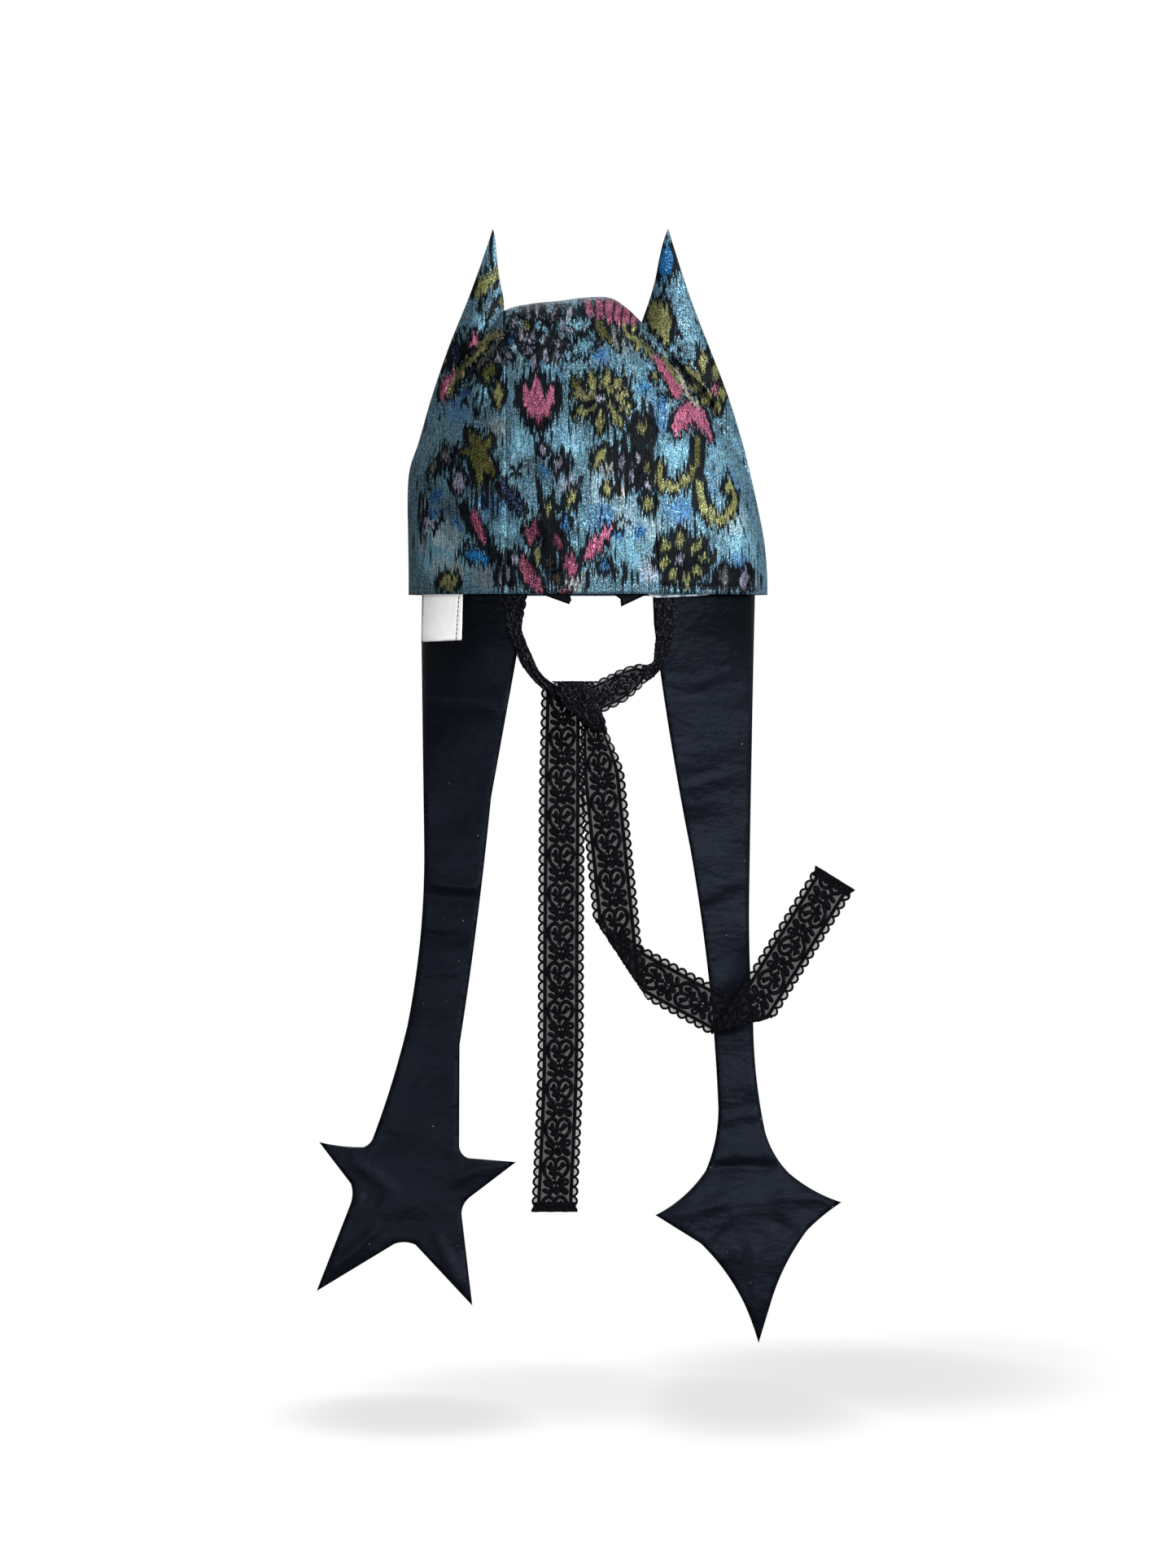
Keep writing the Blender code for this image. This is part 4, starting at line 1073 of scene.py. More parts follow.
        ink, fill, dye = self.print_edges(x, z)
        above, below = (self.print_edges(x, z + step)[:2] for step in (self.probe, -self.probe))
        ink_slope, fill_slope = ((high - low) / (2 * self.probe) for high, low in zip(above, below))
        tint, share = np.tile(np.array(srgb(*Dye.SKY.value)), (count, 1)), np.zeros(count)
        for colour, *spots in self.tints:
            for across, down, reach in spots:
                gap = self.distance(x, z, ((across, down, 0.0), (across, down + 1.0, 0.0)))
                strength = np.exp(-(gap / (reach * self.unit)) ** 2)
                stronger = strength > share
                tint[stronger] = srgb(*colour.value)
                share = np.maximum(share, strength)
        haze = np.zeros(count)
        for across, down, width, height, strength in self.hazes:
            off_x = (x - (across - self.middle_across) * self.unit) / (width / 2 * self.unit)
            off_z = (z - (self.hem_row - down) * self.unit) / (height / 2 * self.unit)
            haze = np.maximum(haze, strength * np.clip((1.3 - np.hypot(off_x, off_z)) / 0.7, 0.0, 1.0))
        for name, values in (("print_ink", ink), ("print_fill", fill), ("print_tint_share", share),
                             ("print_haze", haze), ("print_ink_slope", ink_slope),
                             ("print_fill_slope", fill_slope)):
            mesh.attributes.new(name, "FLOAT", "POINT").data.foreach_set("value", values)
        for name, values in (("print_dye", dye), ("print_tint", tint)):
            mesh.attributes.new(name, "FLOAT_COLOR", "POINT").data.foreach_set("color", values.ravel())


# Crown


class Patch:
    """A surface patch between four edges that share their corners."""

    def __init__(self, *edges: Callable[[float], Flat]) -> None:
        """Keep the bottom, top, near and far edge, and remember the points that they give."""
        self.bottom, self.top, self.near, self.far = (lru_cache(maxsize=None)(edge) for edge in edges)

    def point(self, u: float, v: float) -> Flat:
        """Find a place in the patch.

        Args:
            u: The share across, from the near edge to the far one.
            v: The share along, from the bottom to the top.

        Returns:
            The place as x and z.
        """
        place = []
        for axis in (0, 1):
            rows = mix(self.bottom(u)[axis], self.top(u)[axis], v)
            columns = mix(self.near(v)[axis], self.far(v)[axis], u)
            low = mix(self.near(0.0)[axis], self.far(0.0)[axis], u)
            high = mix(self.near(1.0)[axis], self.far(1.0)[axis], u)
            place.append(rows + columns - mix(low, high, v))
        return place[0], place[1]


@dataclass
class CrownShape:
    """The crown's form: a dome over the head with two flat ears, as in the solid model."""

    rim_straight: float = 14.0
    ear_fullness: float = 17.0
    ear_tip_fullness: float = 8.0
    ear_full_height: float = 140.0
    ear_edge_softness: float = 9.0
    ear_solid_tip: float = 24.0
    ear_taper: float = 12.0
    ear_fade: Flat = (60.0, 125.0)
    blend_power: float = 4.0
    fold_fade: Flat = (18.0, 45.0)
    seam_gap: float = 0.08
    seam_lap: float = 0.8
    # rise, shift between front and back, and size
    soft_waves: Table = ((0.75, 130.0, 42.0), (0.42, 70.0, 17.0), (0.16, 31.0, 6.5))
    # height above the hem, rise and width
    hem_ridges: Table = ((4.3, -0.42, 0.9), (2.0, 0.25, 1.4), (6.6, 0.2, 1.6))
    pucker_rise: float = 0.34
    pucker_off: float = 3.2
    pucker_width: float = 3.0
    groove_depth: float = 0.5
    groove_width: float = 1.7
    # height, then the x of the left and the right side
    side_edges: Table = (
        (0.0, -120.0, 120.0), (14.0, -120.0, 119.8), (36.0, -120.3, 117.8), (69.0, -120.6, 111.3),
        (85.0, -119.0, 107.5), (101.0, -113.6, 103.5), (134.0, -104.0, 93.3), (166.5, -92.8, 80.8),
        (199.0, -79.7, 68.3), (232.0, -67.8, 57.6), (245.0, -63.6, 53.6),
    )
    # height and x of the ears' inner edges
    left_ear_inner: Table = (
        (190.0, -56.0), (199.0, -56.6), (208.0, -58.6), (222.0, -60.6), (239.0, -62.2), (245.0, -63.6),
    )
    right_ear_inner: Table = (
        (182.3, 35.8), (197.5, 41.1), (211.0, 44.9), (224.7, 47.6), (237.0, 50.6), (245.0, 53.6),
    )
    # x and height
    dome_outline: Table = (
        (-121.0, 40.0), (-118.5, 85.0), (-112.0, 104.0), (-101.5, 124.0), (-93.0, 138.0), (-83.5, 155.0),
        (-74.0, 170.0), (-65.0, 181.0), (-56.0, 190.0), (-41.0, 194.3), (-16.6, 197.0), (-1.0, 199.0),
        (15.5, 198.4), (27.5, 190.5), (35.8, 182.3), (43.8, 174.0), (52.0, 164.0), (61.0, 152.0),
        (70.0, 140.0), (80.0, 126.0), (88.0, 113.0), (99.0, 97.0), (107.0, 81.0), (113.0, 62.0),
        (121.0, 34.0),
    )
    # height, then the x of the left and the right seam
    panel_seams: Table = (
        (0.0, -53.1, 47.6), (48.0, -54.2, 44.9), (97.0, -54.8, 45.8), (145.0, -55.0, 46.2),
        (170.0, -55.5, 41.0), (182.3, -55.8, 35.8), (190.0, -56.0, 35.8),
    )
    # x0, z0, x1, z1, width, depth as a share
    folds: Table = (
        (-58.0, 172.0, -96.0, 124.0, 5.0, 0.10), (-66.0, 158.0, -100.0, 108.0, 6.0, 0.07),
        (38.0, 168.0, 84.0, 116.0, 5.0, 0.11), (50.0, 172.0, 76.0, 146.0, 4.5, 0.14),
        (-78.0, 196.0, -60.0, 210.0, 5.0, 0.12), (-30.0, 178.0, 12.0, 150.0, 9.0, 0.03),
        (-110.0, 70.0, -84.0, 20.0, 9.0, 0.05), (104.0, 62.0, 86.0, 14.0, 9.0, 0.05),
    )
    crease_depth: float = 2.3
    # width, depth in millimetres, then points of x and z
    creases: tuple = (
        (1.8, 1.5, (-57.6, 177.7), (-71.9, 169.2), (-82.8, 155.9), (-91.2, 140.9), (-97.1, 127.3)),
        (2.0, 1.3, (-56.0, 171.0), (-66.9, 160.9), (-76.9, 149.2), (-88.7, 134.1)),
        (1.7, 1.1, (-58.5, 184.4), (-68.5, 177.7), (-78.6, 167.6)),
        (2.4, 0.8, (-55.5, 160.0), (-63.0, 147.0), (-70.0, 128.0)),
        (2.0, 1.2, (20.3, 177.7), (38.7, 166.0), (55.5, 152.5), (68.9, 137.5), (84.0, 119.0)),
        (1.8, 1.5, (28.7, 176.0), (45.4, 164.3), (63.9, 149.2), (75.6, 135.8), (89.0, 117.3)),
        (1.8, 1.2, (35.4, 177.7), (53.8, 161.0), (67.2, 144.2), (79.0, 127.4)),
        (2.6, 0.8, (10.0, 182.0), (24.0, 172.0), (36.0, 158.0)), (2.6, 0.7, (-50.0, 186.0), (-36.0, 172.0)),
        (3.0, 0.7, (-62.0, 206.0), (-74.0, 196.0), (-86.0, 178.0)), (3.0, 0.6, (46.0, 212.0), (60.0, 200.0)),
        (3.5, 0.7, (48.0, 120.0), (58.0, 92.0), (62.0, 60.0)),
        (4.0, 0.7, (-57.0, 110.0), (-66.0, 80.0), (-70.0, 50.0)),
        (3.0, 0.5, (-30.0, 20.0), (-20.0, 8.0)), (3.0, 0.5, (20.0, 22.0), (30.0, 8.0)),
    )

    def side_edge(self, side: float, height: float) -> float:
        """Return the x of the crown's outer edge on a side."""
        return curve_value(self.side_edges, height, 1 if side < 0 else 2)

    def seam_edge(self, side: float, height: float) -> float:
        """Return the x of a panel seam on a side."""
        return curve_value(self.panel_seams, height, 1 if side < 0 else 2)

    def ear_table(self, side: float) -> Table:
        """Return the inner edge of the ear on a side."""
        return self.left_ear_inner if side < 0 else self.right_ear_inner

    def ear_edges(self, side: float, height: float, inset: float) -> Flat:
        """Find the edges of an ear at a height.

        Args:
            side: -1 for the left ear and 1 for the right one.
            height: Height above the hem.
            inset: How far in from the outer face, where it also closes below the tip.

        Returns:
            The x of its outer and its inner edge.
        """
        table = self.ear_table(side)
        outer, inner = self.side_edge(side, height), curve_value(table, height)
        if inset == 0.0:
            return outer, inner
        outer -= side * inset
        inner += side * inset * smooth(0.0, self.ear_taper, height - table[0][0] + inset)
        tip = table[-1][0] - self.ear_solid_tip
        taper = math.sqrt(max(0.0, min(1.0, (tip - height) / self.ear_taper)))
        middle = (outer + inner) / 2
        return mix(middle, outer, taper), mix(middle, inner, taper)

    def fold_share(self, x: float, height: float) -> float:
        """Work out what the main folds leave of the crown's depth.

        Args:
            x: Place across.
            height: Height above the hem.

        Returns:
            The share that is left there.
        """
        share = 1.0
        for *line, width, depth in self.folds:
            along, off = beside(x, height, line)
            ends = smooth(-0.25, 0.2, along) * smooth(-0.25, 0.2, 1.0 - along)
            share -= depth * ends * math.exp(-(off / width) ** 2) * smooth(*self.fold_fade, height)
        return share

    def depth(self, x: float, height: float, inset: float = 0.0) -> float:
        """Work out how far the crown stands in front of, and behind, its middle plane.

        Args:
            x: Place across.
            height: Height above the hem.
            inset: How far in from the outer face.

        Returns:
            The distance from the middle plane, in millimetres.
        """
        side = -1.0 if x < 0.0 else 1.0
        edge = abs(self.side_edge(side, height)) - inset
        across = max(0.0, 1.0 - (x / edge) ** 2)
        top = curve_value(self.dome_outline, x) - inset
        climb = max(0.0, height - self.rim_straight) / (top - self.rim_straight)
        upward = max(0.0, 1.0 - climb ** DOME_ROUNDNESS)
        dome = (HEAD_HALF_DEPTH - inset) * math.sqrt(across * upward)
        table = self.ear_table(side)
        foot = table[0][0] - inset
        if height > foot:
            outer, inner = self.ear_edges(side, height, inset)
            from_inner = max(0.0, side * (x - inner))
        else:
            outer = side * edge
            from_inner = foot - height + max(0.0, side * (x - self.seam_edge(side, height)))
        from_outer = max(0.0, side * (outer - x))
        share = smooth(self.ear_full_height, table[-1][0], height)
        fullness = mix(self.ear_fullness, self.ear_tip_fullness, share) - inset
        fullness *= smooth(*self.ear_fade, height)
        ear = fullness * (1.0 - math.exp(-from_outer / self.ear_edge_softness))
        ear *= 1.0 - math.exp(-from_inner / self.ear_edge_softness)
        whole = (dome ** self.blend_power + ear ** self.blend_power) ** (1.0 / self.blend_power)
        return whole * self.fold_share(x, height)

    def relief(self, x: np.ndarray, z: np.ndarray, face: float, depth: np.ndarray) -> np.ndarray:
        """Return the small forms of the cloth: soft waves, seam puckers, creases and the hem's roll.

        Args:
            x: Places across, in millimetres.
            z: Heights.
            face: 1 for the front and -1 for the back.
            depth: How far the plain form stands from the middle plane there.

        Returns:
            How far the cloth stands out of the plain form, in millimetres.
        """
        rise = sum(high * waves(x + shift * face, z, size) for high, shift, size in self.soft_waves)
        rise *= 0.2 + 0.8 * np.clip((z - 2.0) / 14.0, 0.0, 1.0)
        bent = x + 1.2 * np.sin(z / 6.0 + face)
        for width, low, *points in self.creases:
            off, along = chain_reach(bent, z, points)
            low *= self.crease_depth
            rise -= low * np.exp(-(off / width) ** 2) * np.clip(along * (1.0 - along) * 9.0, 0.25, 1.0)
            rise += 0.4 * low * np.exp(-((off - 2.4 * width) / width) ** 2)
        heights = [row[0] for row in self.panel_seams]
        seams = [np.interp(z, heights, [row[column] for row in self.panel_seams]) for column in (1, 2)]
        from_seam = np.minimum(np.abs(x - seams[0]), np.abs(x - seams[1]))
        foot = np.where(x < 0.0, self.left_ear_inner[0][0], self.right_ear_inner[0][0])
        sewn = np.clip((foot - z) / 3.0, 0.0, 1.0)
        pucker = np.sin(z / 1.9 + 2.0 * np.sin(z / 11.0) + face)
        pucker = pucker * np.exp(-((from_seam - self.pucker_off) / self.pucker_width) ** 2)
        groove = np.exp(-(from_seam / self.groove_width) ** 2)
        rise += sewn * (self.pucker_rise * pucker - self.groove_depth * groove)
        for height, high, width in self.hem_ridges:
            rise += high * np.exp(-((z - height) / width) ** 2)
        free = np.clip((depth - 1.0) / 13.0, 0.0, 1.0)
        return rise * free * free * (3.0 - 2.0 * free)

    def side_patch(self, side: float, inset: float) -> Patch:
        """Outline a side panel.

        Args:
            side: -1 for the left panel and 1 for the right one.
            inset: How far in from the outer face.

        Returns:
            The outline, with u from its seam outwards and v from the hem up.
        """
        gap = side * (self.seam_gap / 2 + (self.seam_lap if inset else 0.0))
        table = self.ear_table(side)
        foot = table[0][0] - inset
        tip = table[-1][0] - (self.ear_solid_tip if inset else 0.0)
        start = math.asin(abs(self.seam_edge(side, 0.0)) / HEAD_HALF_WIDTH)

        def bottom(t: float) -> Flat:
            """Return a point of the hem."""
            angle = mix(start, math.pi / 2, t)
            share = (math.sin(angle) - math.sin(start)) / (1.0 - math.sin(start))
            return mix(self.seam_edge(side, 0.0) + gap, self.side_edge(side, 0.0) - side * inset, share), 0.0

        def top(t: float) -> Flat:
            """Return a point of the ear's inner edge."""
            height = mix(foot, tip, t)
            return self.ear_edges(side, height, inset)[1] + gap * (1.0 - t), height

        def near(t: float) -> Flat:
            """Return a point of the seam."""
            height = foot * math.sin(t * math.pi / 2)
            edge = mix(self.seam_edge(side, height), top(0.0)[0] - gap, smooth(0.9, 1.0, t))
            return edge + gap, height

        def far(t: float) -> Flat:
            """Return a point of the outer edge."""
            height = tip * t
            if height > foot:
                return self.ear_edges(side, height, inset)[0], height
            return self.side_edge(side, height) - side * inset, height

        return Patch(bottom, top, near, far)

    def band_patch(self, inset: float) -> Patch:
        """Outline the middle band.

        Args:
            inset: How far in from the outer face.

        Returns:
            The outline, with u from its left seam and v from the hem up.
        """
        half = self.seam_gap / 2 - (self.seam_lap if inset else 0.0)

        def bottom(t: float) -> Flat:
            """Return a point of the hem."""
            return mix(self.seam_edge(-1, 0.0) + half, self.seam_edge(1, 0.0) - half, t), 0.0

        def top(t: float) -> Flat:
            """Return a point of the crown's top."""
            x = mix(self.left_ear_inner[0][1] + half, self.right_ear_inner[0][1] - half, t)
            return x, curve_value(self.dome_outline, x) - inset

        def near(t: float) -> Flat:
            """Return a point of the left seam."""
            height = (self.left_ear_inner[0][0] - inset) * math.sin(t * math.pi / 2)
            return self.seam_edge(-1, height) + half, height

        def far(t: float) -> Flat:
            """Return a point of the right seam."""
            height = (self.right_ear_inner[0][0] - inset) * math.sin(t * math.pi / 2)
            return self.seam_edge(1, height) - half, height

        return Patch(bottom, top, near, far)


@dataclass
class Crown:
    """The crown's three panels of printed cloth, lined, and the stitches along its hem."""

    shape: CrownShape = field(default_factory=CrownShape)
    chart: PrintChart = field(default_factory=PrintChart)
    print_cloth: PrintedLurex = PrintedLurex()
    lining: PlaidLining = PlaidLining()
    columns: int = 76
    band_columns: int = 92
    rows: int = 132
    turned_hem: float = 2.4
    # widths of the cuts in metres, and what is left of a cut when its corners are cut away
    band_cut: float = 0.105
    side_cut: float = 0.19
    cut_share: float = 0.82
    stitch_pitch: float = 3.1
    stitch_height: float = 4.3
    stitch_radius: float = 0.26
    stitch_length: float = 2.3
    stitch_bevel: float = 0.1
    stitch_lift: float = 0.12
    stitch_half_width: float = 119.4
    stitch_least_depth: float = 4.0

    def __post_init__(self) -> None:
        """Build the crown's finishes once."""
        self.outer = self.print_cloth.material()
        self.inner = self.lining.material()

    def emboss(self, layer: bpy.types.Object, face: float) -> None:
        """Press the cloth's small forms into a layer.

        Args:
            layer: The layer, which has the plain form.
            face: 1 for the front and -1 for the back.
        """
        count = len(layer.data.vertices)
        places = np.empty(count * 3, np.float32)
        layer.data.vertices.foreach_get("co", places)
        table = places.reshape(-1, 3)
        x, y, z = (table / MM).astype(float).T
        depth = np.abs(y)
        table[:, 1] = -face * (depth + self.shape.relief(x, z, face, depth)) * MM
        layer.data.vertices.foreach_set("co", table.ravel())

    def panel(self, name: str, painted_shadows: Sequence[Patch], columns: int, joined: bool) -> bpy.types.Object:
        """Build a panel: its front runs over the edge into its back, and its hem and seams have walls.

        Args:
            name: The node it stands for.
            painted_shadows: Its outline, for the outer and the inner face.
            columns: How many cells it has across.
            joined: Whether its front and back also meet at its far edge.

        Returns:
            The finished panel.
        """
        layers = []
        for inset, patch in zip((0.0, CLOTH), painted_shadows):
            for face in (1.0, -1.0):
                def spot(u: float, v: float) -> Point:
                    """Return the place of a point of this layer."""
                    x, z = patch.point(u, v)
                    if v > 0.9999 or (joined and u > 0.9999):
                        return x, 0.0, z
                    return x, -face * self.shape.depth(x, z, inset), z

                layer = new_grid(name + "_layer", columns, self.rows, spot, patch.point)
                self.emboss(layer, face)
                layer.data.materials.append(self.outer)
                layer.data.materials.append(self.inner)
                for polygon in layer.data.polygons:
                    polygon.material_index = 1 if inset and polygon.center.z > self.turned_hem * MM else 0
                layers.append(layer)
        piece = join(layers, name + "_cloth")
        weld(piece, 0.01)
        shade_smooth(piece)
        close_walls(piece)
        self.chart.paint(piece.data)
        return piece

    def build(self) -> list[bpy.types.Object]:
        """Build the panels and hand each one to the frame in place of its node."""
        pieces = [self.panel("crown_band", [self.shape.band_patch(inset) for inset in (0.0, CLOTH)],
                             self.band_columns, False)]
        for label, side in (("left", -1.0), ("right", 1.0)):
            painted_shadows = [self.shape.side_patch(side, inset) for inset in (0.0, CLOTH)]
            pieces.append(self.panel("crown_side_" + label, painted_shadows, self.columns, True))
        for piece in pieces:
            settle(piece, "printed_lurex", piece.name.replace("_cloth", ""))
        return pieces

    def stitches(self) -> bpy.types.Object:
        """Sew a row of small stitches along the hem, one modelled stitch copied at each place."""
        deselect_all()
        bpy.ops.mesh.primitive_cylinder_add(vertices=6, radius=self.stitch_radius * MM,
                                            depth=self.stitch_length * MM, location=(0, 0, 0))
        stitch = bpy.context.object
        with editing(stitch, "SELECT"):
            bpy.ops.mesh.bevel(offset=self.stitch_bevel * MM, segments=1, affect="EDGES")
        shape = [(v.co.x / MM, v.co.y / MM, v.co.z / MM) for v in stitch.data.vertices]
        faces = [tuple(p.vertices) for p in stitch.data.polygons]
        points, cells = [], []
        count = round(RIM_LENGTH / self.stitch_pitch)
        z = self.stitch_height
        for step in range(count):
            angle = 2 * math.pi * (step + 0.5) / count
            x = self.stitch_half_width * math.cos(angle)
            face = -1.0 if math.sin(angle) > 0 else 1.0
            depth = self.shape.depth(x, z)
            if depth < self.stitch_least_depth:
                continue
            relief = self.shape.relief(np.array([x]), np.array([z]), face, np.array([depth]))[0]
            y = -face * (depth + relief + self.stitch_lift)
            ahead = Vector((-HEAD_HALF_WIDTH * math.sin(angle), HEAD_HALF_DEPTH * math.cos(angle)))
            ahead.normalize()
            base = len(points)
            for a, b, along in shape:
                points.append((x + ahead.x * along - ahead.y * a, y + ahead.y * along + ahead.x * a, z + b))
            cells += [tuple(base + i for i in cell) for cell in faces]
        bpy.data.objects.remove(stitch, do_unlink=True)
        piece = new_mesh("hem_stitches", points, cells)
        piece.data.materials.append(SewingThread("hem_thread", (26, 34, 42)).material())
        settle(piece, "printed_lurex")
        return piece


# Lining and what hangs at the hem


def rim_point(angle: float, inward: float) -> Flat:
    """Return x and y of a point at hem level, so far in from the crown's outer face."""
    return (HEAD_HALF_WIDTH - inward) * math.cos(angle), (HEAD_HALF_DEPTH - inward) * math.sin(angle)


def rim_depth(x: float, inward: float) -> float:
    """Return the y of the front of the rim at x, so far in from the crown's outer face."""
    return -(HEAD_HALF_DEPTH - inward) * math.sqrt(max(0.0, 1.0 - (x / (HEAD_HALF_WIDTH - inward)) ** 2))


@dataclass
class LiningBand:
    """The plaid band inside the hem, which shows below it at the right of the front."""

    thickness: float = 0.8
    top: float = 14.0
    bottom: float = 2.4
    sides: int = 240
    rows: int = 12
    # x and height of the lower edge, where it comes out below the hem
    peek: Table = (
        (36.0, 2.4), (38.0, 1.0), (40.5, -0.6), (44.0, -2.4), (60.0, -1.9), (78.0, -0.8), (84.0, 1.0),
        (86.0, 2.4),
    )

    def build(self, material: bpy.types.Material) -> bpy.types.Object:
        """Build the band as a ring of cloth with a rolled lower edge.

        Args:
            material: The checked lining.

        Returns:
            The finished band.
        """
        def spot(u: float, v: float) -> Point:
            """Return the place of a point of the band."""
            angle = 2 * math.pi * u
            x, y = rim_point(angle, LINING_IN)
            low = curve_value(self.peek, x) if y < 0 else self.bottom
            z = mix(low, self.top, v)
            rolled = 0.15 * math.sin(angle * 60.0) * (1.0 - v)
            x, y = rim_point(angle, LINING_IN + rolled)
            return x, y, z

        piece = new_grid("plaid_band", self.sides, self.rows, spot,
                         lambda u, v: (u * RIM_LENGTH, v * (self.top + 2.0)))
        weld(piece, 0.01)
        thicken(piece, self.thickness)
        piece.data.materials.append(material)
        shade_smooth(piece)
        settle(piece, "plaid_lining", "lining_band")
        return piece


def arc_outline(table: Table, spacing: float) -> list[Flat]:
    """Draw a closed outline of arcs.

    Args:
        table: Rows of x, z and the rise of the arc to the next row.
        spacing: About how far apart its points are.

    Returns:
        The outline's points.
    """
    outline = []
    for row, (x0, z0, rise) in enumerate(table):
        x1, z1 = table[(row + 1) % len(table)][:2]
        length = math.hypot(x1 - x0, z1 - z0)
        steps = max(1, round(length / spacing))
        for step in range(steps):
            t = step / steps
            lift = 4 * rise * t * (1 - t)
            outline.append((mix(x0, x1, t) - lift * (z1 - z0) / length,
                            mix(z0, z1, t) + lift * (x1 - x0) / length))
    return outline


@dataclass
class CutCloth:
    """A flat cut of doubled cloth with a turned edge, hung on a bent surface."""

    name: str
    outline: list[Flat]
    depth: Callable[[float, float], float]
    thickness: float
    spacing: float
    edge_round: float = 2.4

    def edge_distance(self, x: np.ndarray, z: np.ndarray) -> tuple[np.ndarray, np.ndarray]:
        """Measure how far points lie from the outline.

        Args:
            x: The points' places across.
            z: Their heights.

        Returns:
            Whether each point is inside, and its distance from the outline.
        """
        inside, near = np.zeros(x.shape, bool), np.full(x.shape, 1e6)
        for (x0, z0), (x1, z1) in zip(self.outline, self.outline[1:] + self.outline[:1]):
            if z1 != z0:
                inside ^= ((z0 > z) != (z1 > z)) & (x < x0 + (z - z0) * (x1 - x0) / (z1 - z0))
            near = np.minimum(near, run_reach(x, z, (x0, z0), (x1, z1))[0])
        return inside, near

    def build(self) -> bpy.types.Object:
        """Build the cloth: a front and a back layer that meet in a rounded edge."""
        corner = np.array(self.outline)
        xs = np.arange(corner[:, 0].min(), corner[:, 0].max(), self.spacing)
        zs = np.arange(corner[:, 1].min(), corner[:, 1].max(), self.spacing)
        x, z = (a.ravel() for a in np.meshgrid(xs, zs))
        x = x + (np.round(z / self.spacing) % 2) * self.spacing / 2
        inside, near = self.edge_distance(x, z)
        keep = inside & (near > self.spacing * 0.5)
        flat = [Vector(p) for p in self.outline] + [Vector((a, b)) for a, b in zip(x[keep], z[keep])]
        rim = len(self.outline)
        edges = [(i, (i + 1) % rim) for i in range(rim)]
        found = delaunay_2d_cdt(flat, edges, [], 1, 0.0001)
        places = np.array([(p.x, p.y) for p in found[0]])
        _, near = self.edge_distance(places[:, 0], places[:, 1])
        share = np.clip(near / self.edge_round, 0.0, 1.0)
        half = self.thickness / 2 * np.sqrt(np.clip(share * (2.0 - share), 0.0, 1.0))
        middle = [self.depth(a, b) for a, b in places]
        front = [(a, m - h, b) for (a, b), m, h in zip(places, middle, half)]
        back, other = [], []
        for i, ((a, b), m, h) in enumerate(zip(places, middle, half)):
            if near[i] < 1e-4:
                other.append(i)
            else:
                other.append(len(front) + len(back))
                back.append((a, m + h, b))
        faces = list(found[2]) + [tuple(other[i] for i in reversed(face)) for face in found[2]]
        piece = new_mesh(self.name, front + back, faces)
        layer = piece.data.uv_layers.new(name="cloth")
        for loop in piece.data.loops:
            co = piece.data.vertices[loop.vertex_index].co
            layer.data[loop.index].uv = (co.x * 10, co.z * 10)
        return piece


